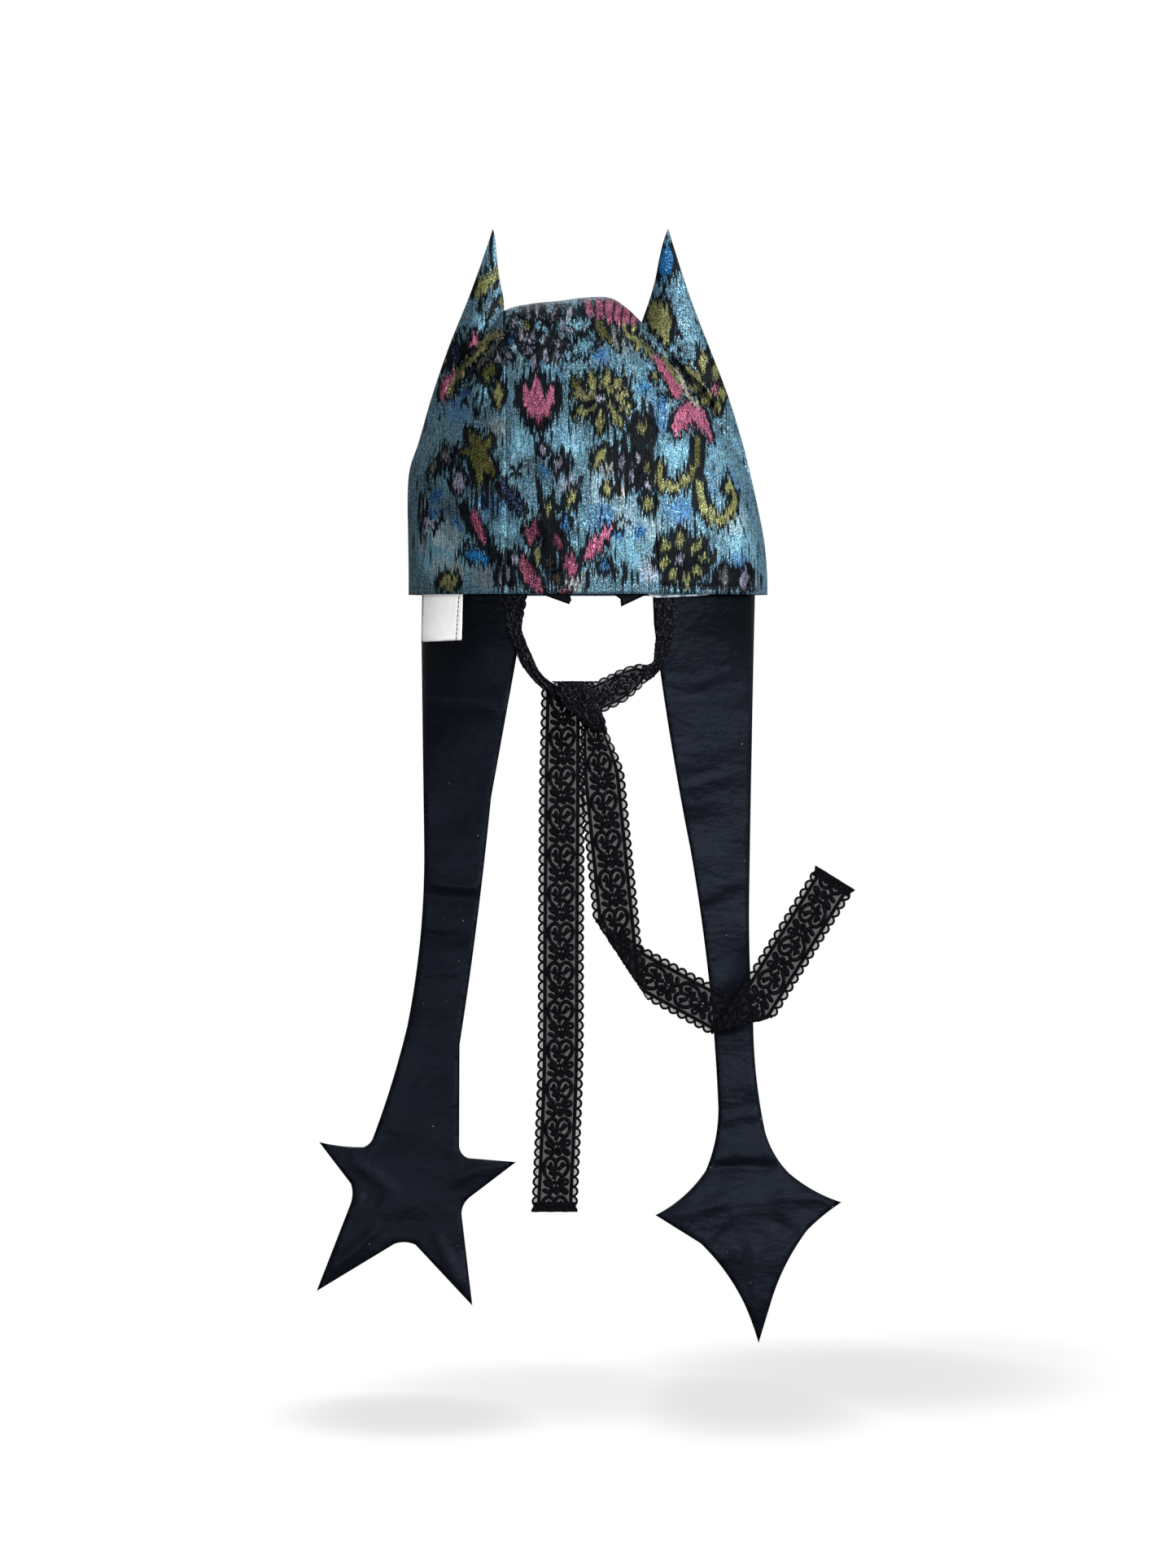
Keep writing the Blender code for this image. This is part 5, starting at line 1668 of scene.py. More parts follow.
@dataclass
class Tails:
    """The two sateen tails, which end in stars, the label on the left one and the facing corners."""

    cloth: float = 2.4
    label_cloth: float = 1.0
    layer_gap: float = 0.4
    mesh: float = 2.3
    relax: float = 150.0
    left: Table = (
        (-40.0, TUCK, 0.0), (-110.7, TUCK, 0.0), (-111.3, -27.0, 0.0), (-109.2, -168.0, 3.1),
        (-120.5, -288.0, 1.2), (-143.0, -361.5, 1.2), (-149.5, -368.5, 1.0), (-179.3, -365.2, 0.0),
        (-158.0, -393.0, 1.2), (-158.5, -407.0, 0.0), (-181.0, -464.7, 0.0), (-129.0, -433.0, 1.4),
        (-115.0, -433.5, 0.0), (-77.0, -474.0, 0.0), (-84.2, -413.0, 1.4), (-79.0, -402.0, 0.0),
        (-47.9, -378.2, 0.0), (-80.0, -375.6, 1.4), (-85.8, -368.0, 0.0), (-85.5, -300.0, -1.2),
        (-64.5, -135.5, 0.0), (-48.7, -48.4, -0.4),
    )
    right: Table = (
        (111.8, TUCK, 0.0), (42.7, TUCK, 0.0), (43.8, -20.0, -1.3), (67.8, -168.0, 3.0), (86.8, -342.0, 2.2),
        (78.5, -384.0, 2.9), (44.9, -413.6, 0.0), (75.0, -432.5, 2.2), (104.2, -473.0, 0.5),
        (113.7, -499.3, 0.0), (121.6, -473.0, 2.5), (146.0, -424.0, 0.8), (169.0, -405.4, 2.0),
        (134.1, -386.0, 2.1), (118.0, -358.0, 1.7), (110.2, -288.0, 1.0), (107.5, -200.0, 0.3),
    )
    # side: middle x, depth there, slope near the hem and at the star
    hang: dict[str, Sequence[float]] = field(default_factory=lambda: {
        "left": (-80.0, -46.0, -0.30, -0.12), "right": (80.0, -43.0, 0.30, 0.10)})
    # side, z, length, forward
    bends: tuple = (
        ("left", -74.0, 9.0, 1.0), ("left", -193.0, 8.0, 1.2), ("left", -228.0, 7.0, -1.0),
        ("left", -400.0, 40.0, 3.5), ("right", -110.0, 30.0, 1.6), ("right", -383.0, 7.0, -1.8),
        ("right", -430.0, 40.0, 4.0),
    )
    # side, x0, z0, x1, z1, width, rise: creases of the cloth, towards the front
    creases: tuple = (
        ("left", -111, -70, -52, -78, 3.2, 0.9), ("left", -110, -79, -60, -86, 3.0, -0.6),
        ("left", -109, -190, -70, -198, 2.6, 0.9), ("left", -110, -199, -74, -205, 3.0, -0.6),
        ("left", -114, -226, -76, -231, 2.6, -0.7), ("left", -116, -248, -80, -252, 3.0, 0.6),
        ("left", -111, -26, -60, -40, 5.0, 0.5), ("left", -142, -362, -88, -372, 3.5, -0.8),
        ("left", -160, -372, -126, -402, 4.0, 0.8), ("left", -172, -452, -136, -418, 4.0, 0.8),
        ("left", -84, -462, -104, -420, 4.0, 0.8), ("left", -58, -380, -96, -392, 4.0, 0.7),
        ("left", -150, -400, -136, -404, 5.0, -0.7), ("right", 46, -60, 108, -52, 4.5, 0.5),
        ("right", 60, -128, 106, -120, 4.0, 0.5), ("right", 84, -383, 130, -380, 2.6, -0.9),
        ("right", 86, -352, 118, -346, 3.5, 0.6), ("right", 54, -413, 98, -404, 4.0, 0.8),
        ("right", 160, -404, 118, -400, 4.0, 0.7), ("right", 113, -488, 110, -430, 4.5, 0.9),
        ("right", 82, -436, 100, -420, 4.0, -0.6), ("right", 140, -428, 122, -416, 4.0, -0.6),
        ("right", 72, -210, 107, -200, 4.0, -0.4), ("right", 80, -290, 110, -282, 4.0, 0.5),
    )
    crease_rise: float = 2.2
    # rise of the cloth's waves, their slant, which waves they are, and their size
    waves: Table = ((1.25, 0.4, 3.0, 24.0), (0.18, 0.5, 9.0, 9.0))
    label: dict[str, float] = field(default_factory=lambda: {"left": -110.2, "right": -83.0, "bottom": -31.8})
    label_fold: float = 3.0
    label_slant: float = 1.2
    # thickness, spacing of the points and rounding of the edge
    label_cut: Point = (0.8, 1.0, 0.7)
    corner_cut: Point = (0.9, 1.2, 0.7)
    corners: dict[str, tuple] = field(default_factory=lambda: {
        "rim_tab_left": ((-30.5, -0.5), (-12.6, -7.0), (-11.0, -4.2), (-12.0, -0.5)),
        "rim_tab_right": ((17.2, -0.5), (21.5, -3.5), (21.9, -8.6), (39.0, -0.5))})

    def plain_depth(self, side: str, x: float, z: float) -> float:
        """Hang a tail without its creases: on the rim's curve at the hem, and flatter further down.

        Args:
            side: Which tail, "left" or "right".
            x: Place across.
            z: Height.

        Returns:
            The y of its middle layer.
        """
        middle, depth, slope, star_slope = self.hang[side]
        slope = mix(slope, star_slope, smooth(80.0, 400.0, -z))
        y = mix(rim_depth(x, TAIL_IN), depth + slope * (x - middle), smooth(2.0, self.relax, -z))
        for bend_side, height, length, forward in self.bends:
            if bend_side == side:
                y -= forward * math.exp(-((z - height) / length) ** 2)
        return y

    def depth(self, side: str, x: float, z: float) -> float:
        """Hang a tail with its small creases and waves.

        Args:
            side: Which tail, "left" or "right".
            x: Place across.
            z: Height.

        Returns:
            The y of its middle layer.
        """
        y = self.plain_depth(side, x, z)
        bent = z + 1.2 * math.sin(x / 9.0)
        for crease_side, *line, width, rise in self.creases:
            if crease_side == side:
                along, off = beside(x, bent, line)
                ends = smooth(-0.1, 0.15, along) * smooth(-0.1, 0.3, 1.0 - along)
                y -= self.crease_rise * rise * ends * math.exp(-(off / width) ** 2)
        waves = sum(rise * ripple(x * slant, which, z, size) for rise, slant, which, size in self.waves)
        return y - waves * smooth(6.0, 40.0, -z)

    def in_front(self, x: float, z: float, distance: float) -> float:
        """Lay something in front of the left tail.

        Args:
            x: Place across.
            z: Height.
            distance: How far in front, measured square to the tail.

        Returns:
            The y of that place.
        """
        step = 0.5
        slope_x = (self.plain_depth("left", x + step, z) - self.plain_depth("left", x - step, z)) / (2 * step)
        slope_z = (self.plain_depth("left", x, z + step) - self.plain_depth("left", x, z - step)) / (2 * step)
        return self.depth("left", x, z) - distance * math.sqrt(1.0 + slope_x ** 2 + slope_z ** 2)

    def build(self) -> list[bpy.types.Object]:
        """Build the tails, the label with its stitches, and the facing corners."""
        sateen = Sateen().material()
        pieces = []
        for side, table in (("left", self.left), ("right", self.right)):
            outline = arc_outline(table, self.mesh)
            piece = CutCloth(f"tail_{side}_sateen", outline, lambda x, z: self.depth(side, x, z),
                             self.cloth, self.mesh).build()
            piece.data.materials.append(sateen)
            settle(piece, "sateen", "tail_" + side)
            self.extent(outline)
            outline_area(outline)
            pieces.append(piece)
        pieces += self.build_label()
        for name, low in self.corners.items():
            points = [(low[0][0] - 1.0, TUCK), *low, (low[-1][0] + 1.0, TUCK)]
            outline = arc_outline([(x, z, 0.0) for x, z in points], self.corner_cut[1])
            piece = CutCloth(name.replace("rim_tab", "facing_corner"), outline,
                             lambda x, z: rim_depth(x, LACE_IN) + 0.12 * ripple(x, 0.0, z, 4.0),
                             *self.corner_cut).build()
            piece.data.materials.append(sateen)
            settle(piece, "sateen", name)
            self.extent(outline)
            outline_area(outline)
            pieces.append(piece)
        return pieces

    def extent(self, outline: Sequence[Flat]) -> Flat:
        """Return the width and length of an outline, in metres."""
        xs, zs = [p[0] for p in outline], [p[1] for p in outline]
        return (max(xs) - min(xs)) * MM, (max(zs) - min(zs)) * MM

    def build_label(self) -> list[bpy.types.Object]:
        """Build the bare label over the left tail's top: a satin square with a sewn-down edge."""
        left, right, bottom = self.label["left"], self.label["right"], self.label["bottom"]
        forward = self.cloth / 2 + self.layer_gap + self.label_cloth / 2
        seam_top = right - self.label_fold + 0.6
        seam_bottom = right - self.label_slant - self.label_fold - 0.8

        def over_tail(x: float, z: float) -> float:
            """Return the y of the label: it dips where the stitches hold it down."""
            share = (TUCK - z) / (TUCK - bottom)
            off = x - mix(seam_top, seam_bottom, share)
            dip = 0.5 * math.exp(-(off / 0.7) ** 2)
            lift = 0.5 * smooth(0.0, -16.0, off) * smooth(0.0, bottom, z)
            return self.in_front(x, z, forward) + dip - lift - 0.15 * ripple(x, 4.0, z, 12.0)

        outline = arc_outline(((left, TUCK, 0.0), (left - self.label_slant, bottom, 0.0),
                               (right - self.label_slant, bottom + 1.0, 0.0), (right, TUCK, 0.0)),
                              self.label_cut[1])
        label = CutCloth("label_satin_square", outline, over_tail, *self.label_cut).build()
        label.data.materials.append(LabelSatin().material())
        settle(label, "label_cloth", "label")
        threads = TubeSet("label_stitches")
        z = -1.2
        while z > bottom + 2.0:
            share = (TUCK - z) / (TUCK - bottom)
            x = mix(seam_top, seam_bottom, share)
            threads.add([(x, over_tail(x, z) - 0.35, z), (x, over_tail(x, z - 1.1) - 0.62, z - 1.1),
                         (x - 0.1, over_tail(x, z - 2.2) - 0.35, z - 2.2)], [0.32, 0.36, 0.32])
            z -= 3.0
        stitches = threads.build()
        stitches.data.materials.append(SewingThread("label_thread", (34, 38, 42)).material())
        settle(stitches, "label_cloth")
        self.extent(outline)
        outline_area(outline)
        return [label, stitches]


# Lace


class TubeSet:
    """Threads drawn as round curves and turned into one mesh."""

    def __init__(self, name: str, caps: bool = True) -> None:
        """Start a curve that is 1 mm in radius.

        Args:
            name: What the mesh is called.
            caps: Whether the threads have closed ends.
        """
        self.curve = bpy.data.curves.new(name, "CURVE")
        self.curve.dimensions = "3D"
        self.curve.bevel_depth = 1.0 * MM
        self.curve.bevel_resolution = 1
        self.curve.use_fill_caps = caps
        self.name = name

    def add(self, points: Sequence[Point], radii: Sequence[float]) -> None:
        """Add a thread.

        Args:
            points: The places that it runs through, in millimetres.
            radii: Its radius at each.
        """
        spline = self.curve.splines.new("POLY")
        spline.points.add(len(points) - 1)
        for target, point, radius in zip(spline.points, points, radii):
            target.co = (point[0] * MM, point[1] * MM, point[2] * MM, 1.0)
            target.radius = radius

    def build(self) -> bpy.types.Object:
        """Turn the threads into a mesh object."""
        take(new_object(self.name, self.curve))
        bpy.ops.object.convert(target="MESH")
        piece = bpy.context.object
        piece.name = piece.data.name = self.name
        shade_smooth(piece)
        return piece


@dataclass
class LacePattern:
    """One repeat of the lace, drawn flat: x across, y along, z out of the cloth."""

    repeat: float = 26.0
    scallops: int = 4
    half: float = 15.5
    cord_at: Flat = (10.05, 11.15)
    cord_radius: float = 0.72
    scallop_root: float = 11.5
    scallop_radius: float = 0.78
    scallop_round: float = 0.5
    weight: float = 1.65
    hem_rows: int = 6
    hem_pitch: float = 1.05
    hem_short: float = 1.2
    hem_wave: float = 0.15
    relief: float = 0.42
    # stations of across, along and radius; smooth strokes
    strokes: tuple = (
        # Heart
        ((-7.1, 12.3, .8), (-8.1, 8.7, .85), (-8.2, 5.5, .85), (-7.5, 2.7, .85), (-5.8, .9, .85),
         (-3.9, .4, .85), (-2.0, 1.3, .85), (-.8, 2.9, .8), (-.6, 4.6, .8), (-.8, 8.7, .8),
         (-.6, 12.5, .9), (-1.6, 14.9, .8)),
        ((-.5, 4.6, .7), (.1, 2.7, .8), (1.4, 1.1, .85), (3.3, .3, .85), (5.2, .8, .85), (6.9, 2.3, .85),
         (7.8, 4.6, .85), (7.8, 7.2, .85), (6.9, 9.9, .85), (5.2, 12.1, .85), (3.3, 14.0, .8),
         (2.4, 16.4, .8)),
        ((-7.1, 12.3, .8), (-5.0, 14.2, .8), (-3.1, 16.3, .8), (-1.6, 18.6, .8)),
        # Sprig and tulip inside it
        ((-3.9, 2.9, .35), (-3.9, 4.8, .95), (-3.7, 6.6, .9), (-3.0, 8.9, .9), (-1.4, 10.2, .7)),
        ((-5.9, 5.4, .5), (-5.2, 6.6, .95), (-3.7, 7.2, .6)),
        ((-4.9, 11.2, .5), (-3.6, 10.4, 1.0), (-1.6, 11.4, .8)),
        ((4.1, 2.9, .35), (4.0, 4.4, .9), (3.4, 6.2, .9), (2.0, 7.5, .9), (.9, 8.6, .7)),
        ((6.2, 5.9, .45), (5.3, 5.4, .9), (3.8, 6.0, .7)),
        ((1.2, 9.6, .6), (1.7, 10.9, .9), (2.9, 11.4, .9), (3.8, 10.6, .6)),
        # Sprig below it
        ((-8.4, 15.7, .5), (-6.9, 16.4, 1.2), (-5.2, 17.5, 1.5), (-3.2, 19.4, 1.0), (-2.2, 21.2, .9)),
        ((-8.7, 21.7, .5), (-7.2, 22.0, 1.0), (-5.4, 22.8, 1.0), (-3.9, 23.9, .7)),
        ((-2.2, 19.5, .8), (-2.1, 21.6, 1.1), (-3.2, 23.7, .9), (-4.0, 25.6, .7)),
        # Cross flower
        ((1.3, 18.3, .8), (2.0, 16.8, .9), (2.6, 15.2, .9), (3.4, 14.4, .6)),
        ((1.3, 18.3, .8), (-.1, 16.9, .7), (-1.2, 15.6, .7)),
        ((2.0, 18.6, .9), (3.8, 18.4, .9), (5.2, 18.2, .7), (7.0, 17.9, .7), (8.0, 16.6, .7), (7.6, 15.2, .7),
         (6.2, 14.8, .7), (5.0, 15.8, .7), (3.8, 17.4, .8)),
        ((1.9, 19.2, .9), (3.6, 20.2, .9), (5.2, 20.6, .75), (7.2, 21.6, .7), (8.0, 23.2, .7),
         (7.2, 24.3, .7), (5.6, 23.6, .75), (4.4, 22.2, .8), (3.4, 20.8, .8)),
        ((1.2, 19.4, .9), (.2, 21.0, .8), (-.2, 22.9, .7), (.7, 24.2, .7), (2.0, 23.6, .7), (2.2, 21.8, .8),
         (2.0, 20.2, .8)),
    )

    def bend(self, stations: Sequence[Point]) -> list[Point]:
        """Return a stroke with points added on a smooth curve between its stations."""
        rows = [(float(i), *station) for i, station in enumerate(stations)]
        steps = 2 * (len(stations) - 1)
        return [tuple(curve_value(rows, i / 2, column) for column in (1, 2, 3)) for i in range(steps + 1)]

    def build(self, length: float, hem: bool = False) -> bpy.types.Object:
        """Model one repeat, array it to a length in millimetres, cut it there and sew its end down.

        Args:
            length: How long the lace is, in millimetres.
            hem: Whether its end is turned and sewn, with rows of thread across it.

        Returns:
            The flat threads.
        """
        worked = TubeSet("lace_worked")
        for stroke in self.strokes:
            stations = self.bend(stroke)
            worked.add([(x, y, 0.0) for x, y, _ in stations], [r * self.weight for _, _, r in stations])
        running = TubeSet("lace_running", caps=False)
        pitch = self.repeat / self.scallops
        for side in (-1, 1):
            for at in self.cord_at:
                rows = [(side * at, self.repeat * i / 10, 0.0) for i in range(11)]
                running.add(rows, [self.cord_radius] * len(rows))
            for k in range(self.scallops):
                rows = [pitch * (k + i / 8) for i in range(9)]
                worked.add([(side * self.edge(y), y, 0.0) for y in rows], [self.scallop_radius] * 9)
        piece = join([running.build(), worked.build()], "lace_repeat")
        for vertex in piece.data.vertices:
            vertex.co.z = self.relief * MM * math.tanh(vertex.co.z / MM / self.relief)
        repeats = piece.modifiers.new("repeats", "ARRAY")
        repeats.count = math.ceil(length / self.repeat) + 1
        repeats.use_relative_offset, repeats.use_constant_offset = False, True
        repeats.constant_offset_displace = (0.0, self.repeat * MM, 0.0)
        repeats.use_merge_vertices, repeats.merge_threshold = True, 0.02 * MM
        take(piece)
        bpy.ops.object.modifier_apply(modifier=repeats.name)
        for at, sense in ((0.0, -1.0), (length, 1.0)):
            with editing(piece, "SELECT"):
                bpy.ops.mesh.bisect(plane_co=(0.0, at * MM, 0.0), plane_no=(0.0, sense, 0.0),
                                    clear_outer=True, use_fill=True)
        if not hem:
            return piece
        turned = TubeSet("lace_hem")
        steps = [(self.half - self.hem_short) * (i / 6 - 1) for i in range(13)]
        for row in range(self.hem_rows):
            along = length - self.cord_radius - row * self.hem_pitch
            turned.add([(x, along + self.hem_wave * math.sin(2.0 * x + row), 0.0) for x in steps],
                       [self.cord_radius] * 13)
        return join([piece, turned.build()], "lace_repeat")

    def edge(self, along: float) -> float:
        """Return the half width of the net, which follows the scallops."""
        phase = (along / self.repeat * self.scallops) % 1.0
        reach = self.half - self.scallop_radius - self.scallop_root
        return self.scallop_root + reach * math.sin(math.pi * phase) ** self.scallop_round


@dataclass
class LaceRibbon:
    """A length of lace laid on its route: the sheer net and the threads worked on it."""

    name: str
    node: str
    length: float
    place: Callable[[float, float], Point]
    held: str
    threads: bpy.types.Material
    net: bpy.types.Material
    columns: int = 22
    row: float = 0.9
    probe: float = 0.3
    pattern: LacePattern = field(default_factory=LacePattern)

    def normal(self, distance: float, w: float) -> Vector:
        """Find the direction out of the lace.

        Args:
            distance: Distance along it.
            w: Place across it.

        Returns:
            The direction, of length 1.
        """
        steps = ((self.probe, 0), (-self.probe, 0), (0, self.probe), (0, -self.probe))
        here = [Vector(self.place(max(0.0, distance + ahead), w + aside)) for ahead, aside in steps]
        return (here[0] - here[1]).cross(here[2] - here[3]).normalized()

    def build(self) -> list[bpy.types.Object]:
        lace = self.pattern.build(self.length, "_end_" in self.name)
        for vertex in lace.data.vertices:
            w, distance, out = vertex.co / MM
            vertex.co = (Vector(self.place(distance, w)) + self.normal(distance, w) * out) * MM
        lace.name = lace.data.name = self.name + "_threads"
        lace.data.materials.append(self.threads)
        rows = round(self.length / self.row)

        def spot(u: float, v: float) -> Point:
            """Return the place of a point of the net."""
            distance = v * self.length
            return self.place(distance, (2 * u - 1) * self.pattern.edge(distance))

        def chart(u: float, v: float) -> Flat:
            """Return the place on the net's map."""
            return (2 * u - 1) * self.pattern.edge(v * self.length), v * self.length

        net = new_grid(self.name + "_net", self.columns, rows, spot, chart)
        net.data.materials.append(self.net)
        shade_smooth(net)
        settle(net, "lace", self.node)
        settle(lace, "lace")
        return [net, lace]


@dataclass
class LaceTies:
    """The two ties: gathered stretches from the hem, their knot, and the two hanging ends."""

    loop_depth: float = -61.0
    # how much narrower than flat the lace is where its ripples and its pleats begin, and where they are full
    ripples_at: Flat = (1.25, 1.7)
    pleats_at: Flat = (1.5, 2.6)
    pleat_width: float = 0.94
    pleat_depth: float = 0.36
    # height in millimetres, turns across and length along
    ripple_wave: Point = (0.95, 0.95, 9.0)
    pleat_wave: Point = (0.65, 1.9, 5.0)
    # x, z, width and thickness along each loop
    left_loop: Table = (
        (-48.4, TUCK, 17.0, 1.2), (-48.4, -3.0, 17.0, 1.2), (-49.0, -13.6, 14.0, 1.4),
        (-48.7, -24.0, 10.0, 2.0), (-45.4, -33.0, 9.2, 2.4), (-41.4, -43.0, 9.6, 2.6),
        (-35.6, -53.0, 7.6, 3.0), (-28.0, -60.6, 7.4, 3.2), (-18.0, -67.0, 8.0, 3.2),
    )
    right_loop: Table = (
        (51.6, TUCK, 16.5, 1.2), (51.6, -3.3, 16.5, 1.2), (52.0, -17.4, 14.7, 1.4), (50.3, -30.0, 11.6, 2.0),
        (48.6, -39.4, 10.0, 2.6), (46.4, -46.6, 7.6, 3.2), (42.0, -50.8, 9.5, 2.6), (38.0, -52.6, 12.8, 2.2),
        (34.3, -53.6, 16.0, 1.9), (29.0, -56.6, 19.0, 1.7), (23.6, -60.0, 21.5, 1.6),
        (17.0, -64.0, 22.8, 1.6), (4.0, -70.0, 23.0, 1.6),
    )
    knot_depth: float = -62.0
    knot_fullness: float = 6.4
    # share down, then z, left x and right x
    knot_sides: Table = (
        (0.0, -58.4, -24.0, 3.5), (0.25, -66.5, -21.5, 6.5), (0.5, -75.0, -15.5, 9.0),
        (0.75, -84.0, -6.0, 11.5), (1.0, -92.0, 3.5, 13.0),
    )
    knot_squareness: float = 5.0
    wrap_length: float = 46.0
    wrap_turn: float = 1.1
    # the straight end: x and z of its middle, then its width at the knot as a share, and where it is full
    straight_depth: float = -54.2
    straight_end: Table = ((-16.6, -63.0), (-17.2, -120.0), (-18.0, -230.0), (-18.6, -320.0), (-22.4, -411.4))
    straight_gather: Flat = (0.95, 80.0)
    folded_start: Flat = (5.0, -80.0)
    folded_heading: float = -84.3
    folded_depth: float = -52.2
    folded_length: float = 374.0
    folded_radius: float = 1.0
    folded_gather: Flat = (0.5, 45.0)
    # distance along the folded end, angle of the crease in degrees, and which way it turns
    folds: Table = ((161.0, 27.9, -1.0), (255.0, -43.3, -1.0))

    def __post_init__(self) -> None:
        """Build the lace's finishes once."""
        self.threads = LaceThread().material()
        self.net = LaceNet().material()
        # the gathered lace gets more painted glints than the hanging ends
        self.gathered_threads = LaceThread("lace_thread_gathered", painted_glints=0.5).material()
        self.gathered_net = LaceNet("lace_net_gathered", opacity=0.96, painted_glints=0.6).material()

    def straight_place(self, distance: float, w: float) -> Point:
        """Lay the straight end, which hangs down from behind the knot.

        Args:
            distance: Distance along it.
            w: Place across the flat lace.

        Returns:
            The place in millimetres.
        """
        z = self.straight_end[0][1] - distance
        narrow = mix(self.straight_gather[0], 1.0, smooth(0.0, self.straight_gather[1], distance))
        x = curve_value([(-height, x) for x, height in self.straight_end], -z) + w * narrow
        wave = 0.7 * math.sin(z / 31.0) * smooth(100.0, 200.0, -z) + 0.4 * math.sin((z + 2 * w) / 17.0)
        return x, self.straight_depth + wave * smooth(95.0, 130.0, -z), z

    def folded_place(self, distance: float, w: float) -> Point:
        """Lay the folded end: a flat ribbon turned over at each crease.

        Args:
            distance: Distance along it.
            w: Place across the flat lace.

        Returns:
            The place in millimetres.
        """
        s, across, lift = distance, w, 0.0
        for crease, angle, side in reversed(self.folds):
            turn = math.radians(angle)
            beyond = (distance - crease) * abs(math.sin(turn)) - w * math.copysign(math.cos(turn), angle)
            if beyond <= 0.0:
                continue
            normal = (abs(math.sin(turn)), -math.copysign(math.cos(turn), angle))
            along = (s - crease) * normal[0] + across * normal[1]
            half_turn = math.pi * self.folded_radius
            if beyond < half_turn:
                moved = self.folded_radius * math.sin(beyond / self.folded_radius)
                lift = side * self.folded_radius * (1.0 - math.cos(beyond / self.folded_radius))
            else:
                moved = half_turn - along
                lift = 2.0 * side * self.folded_radius - lift
            s += (moved - along) * normal[0]
            across += (moved - along) * normal[1]
        if distance < self.folded_gather[1]:
            open_share = smooth(0.0, self.folded_gather[1], distance)
            across = across * mix(self.folded_gather[0], 1.0, open_share) - 2.5 * (1.0 - open_share)
        heading = math.radians(self.folded_heading)
        x = self.folded_start[0] + s * math.cos(heading) - across * math.sin(heading)
        z = self.folded_start[1] + s * math.sin(heading) + across * math.cos(heading)
        back = -1.9 * (1.0 - smooth(0.0, 30.0, distance))
        wave = 0.6 * math.sin(x / 19.0 + z / 43.0) * smooth(40.0, 90.0, distance)
        return x, self.folded_depth + back + wave - lift, z

    def loop_route(self, table: Table) -> list[tuple[float, ...]]:
        """Measure along a loop.

        Args:
            table: The loop's rows.

        Returns:
            The same rows, with the distance along the loop as the first column.
        """
        rows, total = [], 0.0
        for i, row in enumerate(table):
            if i:
                total += math.hypot(row[0] - table[i - 1][0], row[1] - table[i - 1][1])
            rows.append((total, *row))
        return rows

    def loop_place(self, rows: Table, distance: float, w: float) -> Point:
        """Return a point of a gathered stretch, whose lace lies in lengthwise pleats.

        Args:
            rows: Distance, x, z, width and thickness along the stretch.
            distance: Distance along it.
            w: Place across the flat lace.

        Returns:
            The place in millimetres.
        """
        x, z, width, thickness = (curve_value(rows, distance, column) for column in (1, 2, 3, 4))
        ahead = curve_value(rows, distance + 0.5, 1) - curve_value(rows, distance - 0.5, 1)
        down = curve_value(rows, distance + 0.5, 2) - curve_value(rows, distance - 0.5, 2)
        size = math.hypot(ahead, down) or 1.0
        share = w / LACE_WIDTH + 0.5
        gathered = smooth(*self.pleats_at, LACE_WIDTH / width)
        triple = share * 3.0
        leg = min(2, max(0, int(triple)))
        zigzag = (2 * (triple - leg) - 1) * (1 if leg % 2 == 0 else -1)
        zigzag = math.sin(zigzag * math.pi / 2) * 0.5 + zigzag * 0.5
        across = width / 2 * mix(2 * share - 1, zigzag, gathered) * self.pleat_width
        forward = thickness * self.pleat_depth * (1 - 2 * share) * gathered
        drawn_in = smooth(*self.ripples_at, LACE_WIDTH / width) * (1.0 - gathered)
        for (high, turns, length), strength in ((self.pleat_wave, gathered), (self.ripple_wave, drawn_in)):
            forward += high * math.sin(across * turns + distance / length) * strength
        px, pz = x - down / size * across, z + ahead / size * across
        y = mix(rim_depth(px, LACE_IN), self.loop_depth, smooth(0.0, -50.0, z))
        return px, y - forward, pz

    def knot_point(self, across: float, down: float, forward: float) -> Point:
        """Return a point of the knot, which narrows from its straight top to its lower right.

        Args:
            across: From its left side at -1 to its right side at 1.
            down: From its top at 0 to its foot at 1.
            forward: How far it stands in front of the knot's middle layer, in millimetres.

        Returns:
            The place in millimetres.
        """
        z, left, right = (curve_value(self.knot_sides, down, column) for column in (1, 2, 3))
        return mix(left, right, (across + 1.0) / 2.0), self.knot_depth - forward, z

    def build_knot(self) -> list[bpy.types.Object]:
        """Build the knot: a flat pleated core, and the fold of lace that runs over it to the lower right."""
        deselect_all()
        bpy.ops.mesh.primitive_uv_sphere_add(segments=96, ring_count=56, radius=1.0, location=(0, 0, 0))
        core = bpy.context.object
        core.name = core.data.name = "tie_knot_core"
        power = self.knot_squareness
        for vertex in core.data.vertices:
            direction = vertex.co.normalized()
            flat = (abs(direction.x) ** power + abs(direction.z) ** power) ** (2.0 / power) + direction.y ** 2
            sides = (direction.x, -direction.y, direction.z)
            across, forward, up = (value / math.sqrt(flat) for value in sides)
            pleat = 0.3 * math.sin(across * 11.0 + 1.2 * math.sin(up * 3.0)) * abs(forward)
            vertex.co = Vector(self.knot_point(across * 0.94, (1.0 - up * 0.95) / 2.0,
                                               forward * (self.knot_fullness - 1.3) + pleat)) * MM
        core.data.materials.append(self.threads)
        shade_smooth(core)
        settle(core, "lace", "tie_knot")

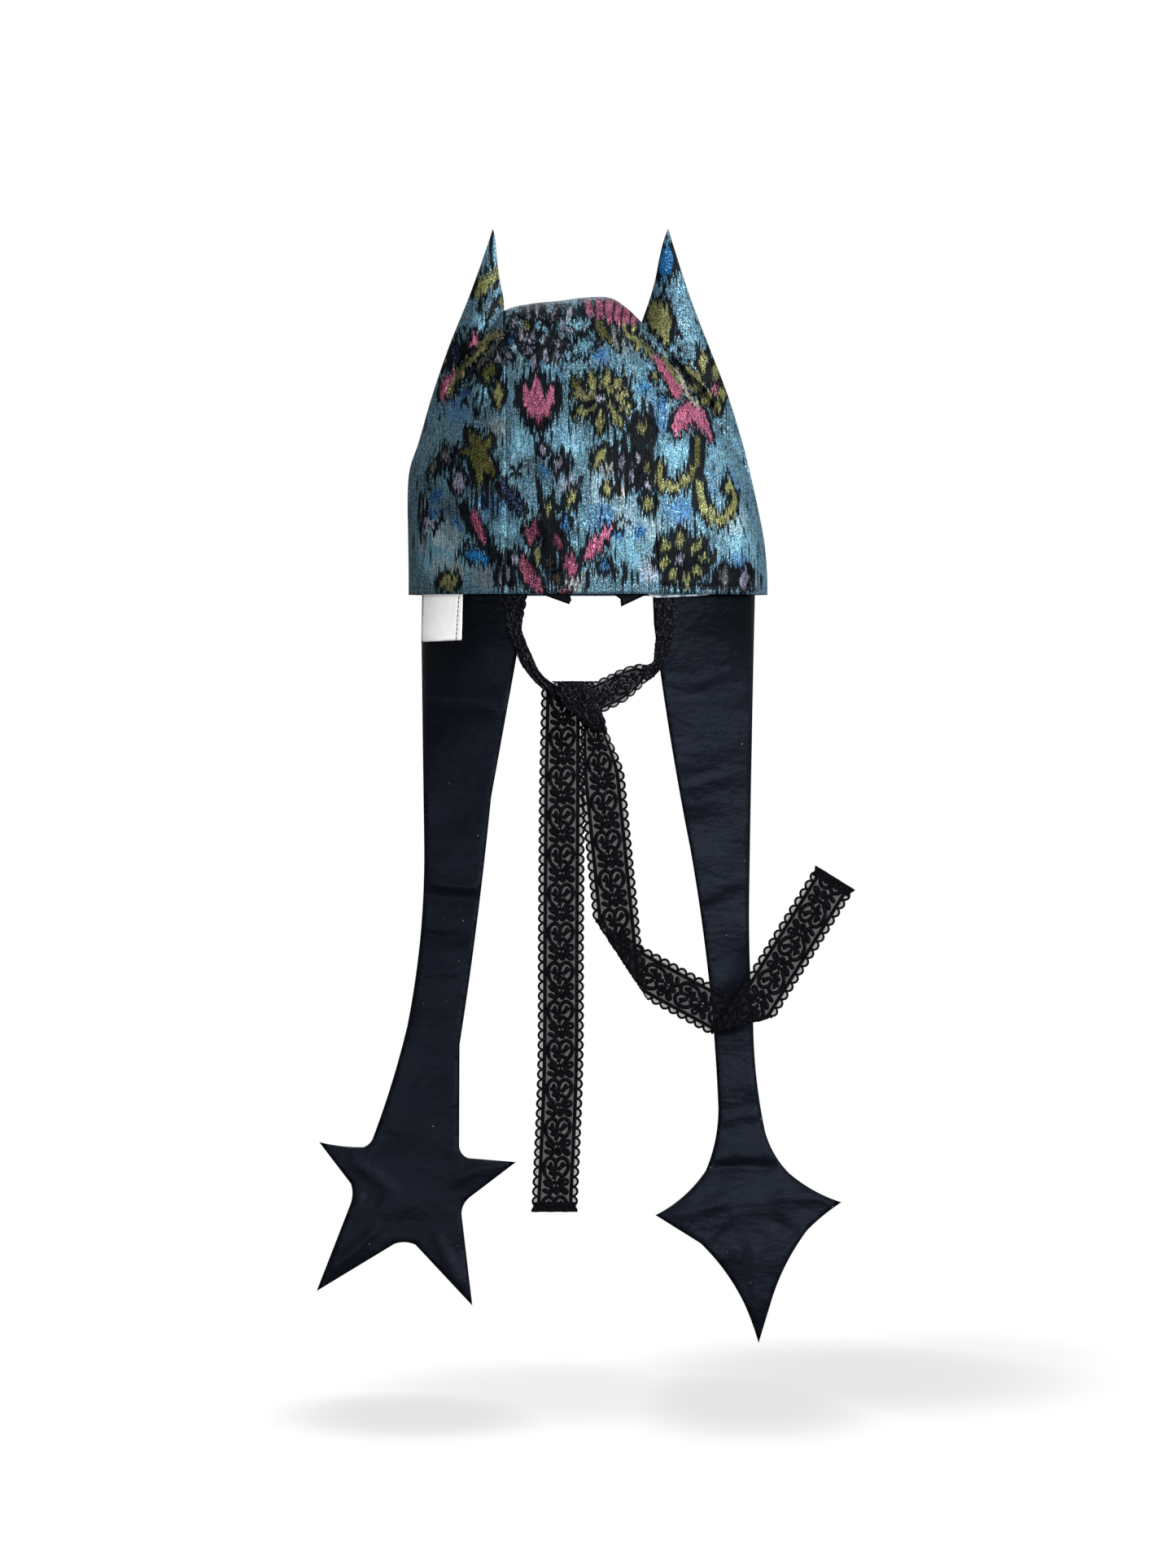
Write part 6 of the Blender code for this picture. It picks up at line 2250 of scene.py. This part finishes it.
        def place(distance: float, w: float) -> Point:
            """Return a point of the fold: over the top from behind, down the front and in under the foot."""
            angle = (distance / self.wrap_length - 0.5) * math.pi * self.wrap_turn
            share = w / LACE_WIDTH * 2.0
            down = 0.5 + 0.5 * math.copysign(abs(math.sin(angle)) ** 0.8, angle)
            front = math.copysign(abs(math.cos(angle)) ** 0.5, math.cos(angle))
            side = max(0.0, 1.0 - abs(share) ** 4) ** 0.5
            pleat = 0.52 * math.sin(w * 1.35 + 1.3 * math.sin(distance / 9.0))
            return self.knot_point(share, down, front * (self.knot_fullness * (0.35 + 0.65 * side) + pleat))

        wrap = LaceRibbon("tie_knot_wrap", "tie_knot", self.wrap_length, place, "gathered",
                          self.gathered_threads, self.gathered_net)
        return [core] + wrap.build()

    def build(self) -> list[bpy.types.Object]:
        """Build both loops, the knot and both hanging ends."""
        pieces = []
        for label, table in (("left", self.left_loop), ("right", self.right_loop)):
            rows = self.loop_route(table)
            pieces += LaceRibbon("tie_loop_" + label, "tie_loop_" + label, rows[-1][0],
                                 lambda s, w: self.loop_place(rows, s, w), "gathered",
                                 self.gathered_threads, self.gathered_net, row=0.8).build()
        pieces += self.build_knot()
        length = self.straight_end[0][1] - self.straight_end[-1][1]
        for name, size, place, held in (
                ("tie_end_straight", length, self.straight_place, "hung"),
                ("tie_end_folded", self.folded_length, self.folded_place, "folded")):
            pieces += LaceRibbon(name, name, size, place, held, self.threads, self.net).build()
        return pieces


# Studio


@dataclass
class Studio:
    """The camera at the photograph's angle, soft lights and the white floor."""

    lens: float = 400.0
    sensor: float = 36.0
    frame_height: float = 1048.7
    aim_height: float = -126.5
    floor_height: float = -540.0
    # the sweep, in metres
    floor_size: float = 9.0
    floor_back: float = 0.6
    sweep_height: float = 4.0
    sweep_round: float = 1.0
    world_strength: float = 0.26
    # name, place and size in metres, power in watts
    lights: tuple = (
        ("key", (2.9, -1.6, 1.3), 0.9, 150.0), ("fill", (0.5, -3.4, 0.4), 1.6, 108.0),
        ("top", (0.3, -0.5, 2.6), 1.4, 40.0), ("back", (-0.6, 2.0, 1.6), 1.6, 24.0),
    )

    def camera(self) -> None:
        """Create the camera: a long lens that looks straight at the front."""
        data = bpy.data.cameras.new("camera")
        data.lens, data.sensor_width, data.sensor_fit = self.lens, self.sensor, "AUTO"
        item = new_object("camera", data)
        distance = self.frame_height * MM * self.lens / self.sensor
        item.location = (0.0, -distance, self.aim_height * MM)
        item.rotation_euler = (math.pi / 2, 0.0, 0.0)
        bpy.context.scene.camera = item

    def light(self, name: str, place: Point, size: float, power: float) -> None:
        """Add a square soft light that looks at the middle of the part.

        Args:
            name: What it is called.
            place: Where it stands, in metres.
            size: How wide it is, in metres.
            power: Its power in watts.
        """
        data = bpy.data.lights.new(name, "AREA")
        data.shape, data.size, data.energy = "SQUARE", size, power
        item = new_object(name, data)
        item.location = place
        item.rotation_euler = (Vector((0.0, 0.0, -0.1)) - Vector(place)).to_track_quat("-Z", "Y").to_euler()

    def choose_edges(self, floor: bpy.types.Object, top: float) -> None:
        """Select the floor's edges that lie wholly at its back.

        Args:
            floor: The floor.
            top: Edges above this height, in metres, are left out.
        """
        for edge in floor.data.edges:
            ends = [floor.data.vertices[i].co for i in edge.vertices]
            edge.select = min(e.y for e in ends) > 0.0 and max(e.z for e in ends) <= top

    def build(self) -> None:
        """Set the camera, the lights, the floor and its sweep."""
        self.camera()
        bpy.context.scene.view_settings.view_transform = "Standard"
        for light in self.lights:
            self.light(*light)
        world = bpy.data.worlds.new("studio")
        world.use_nodes = True
        background = world.node_tree.nodes["Background"].inputs
        background["Color"].default_value = (1.0, 1.0, 1.0, 1.0)
        background["Strength"].default_value = self.world_strength
        bpy.context.scene.world = world
        deselect_all()
        bpy.ops.mesh.primitive_plane_add(size=self.floor_size,
                                         location=(0.0, self.floor_back, self.floor_height * MM))
        floor = bpy.context.object
        floor.name = floor.data.name = "studio_floor"
        with editing(floor, "DESELECT"):
            bpy.ops.mesh.select_mode(type="EDGE")
        self.choose_edges(floor, 0.01)
        with editing(floor):
            bpy.ops.mesh.extrude_region_move(TRANSFORM_OT_translate={"value": (0.0, 0.0, self.sweep_height)})
        self.choose_edges(floor, 0.01)
        with editing(floor):
            bpy.ops.mesh.bevel(offset=self.sweep_round, segments=12, affect="EDGES")
        bpy.ops.object.transform_apply(location=True, rotation=True, scale=True)
        shade_smooth(floor)
        floor.data.materials.append(StudioPaper().material())
        floor.visible_diffuse = floor.visible_glossy = False


def main() -> None:
    """Build every sub-assembly in order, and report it."""
    logging.basicConfig(level=logging.INFO, format="%(name)s: %(message)s")
    Studio().build()
    crown = Crown()
    assemblies = (
        ("crown", crown.build),
        ("hem stitches", lambda: [crown.stitches()]),
        ("lining band", lambda: [LiningBand().build(crown.inner)]),
        ("tails", Tails().build),
        ("lace ties", LaceTies().build),
    )
    for name, build in assemblies:
        pieces = build()
        LOG.info("%s: %d pieces", name, len(pieces))
    deselect_all()


if __name__ == "__main__":
    main()
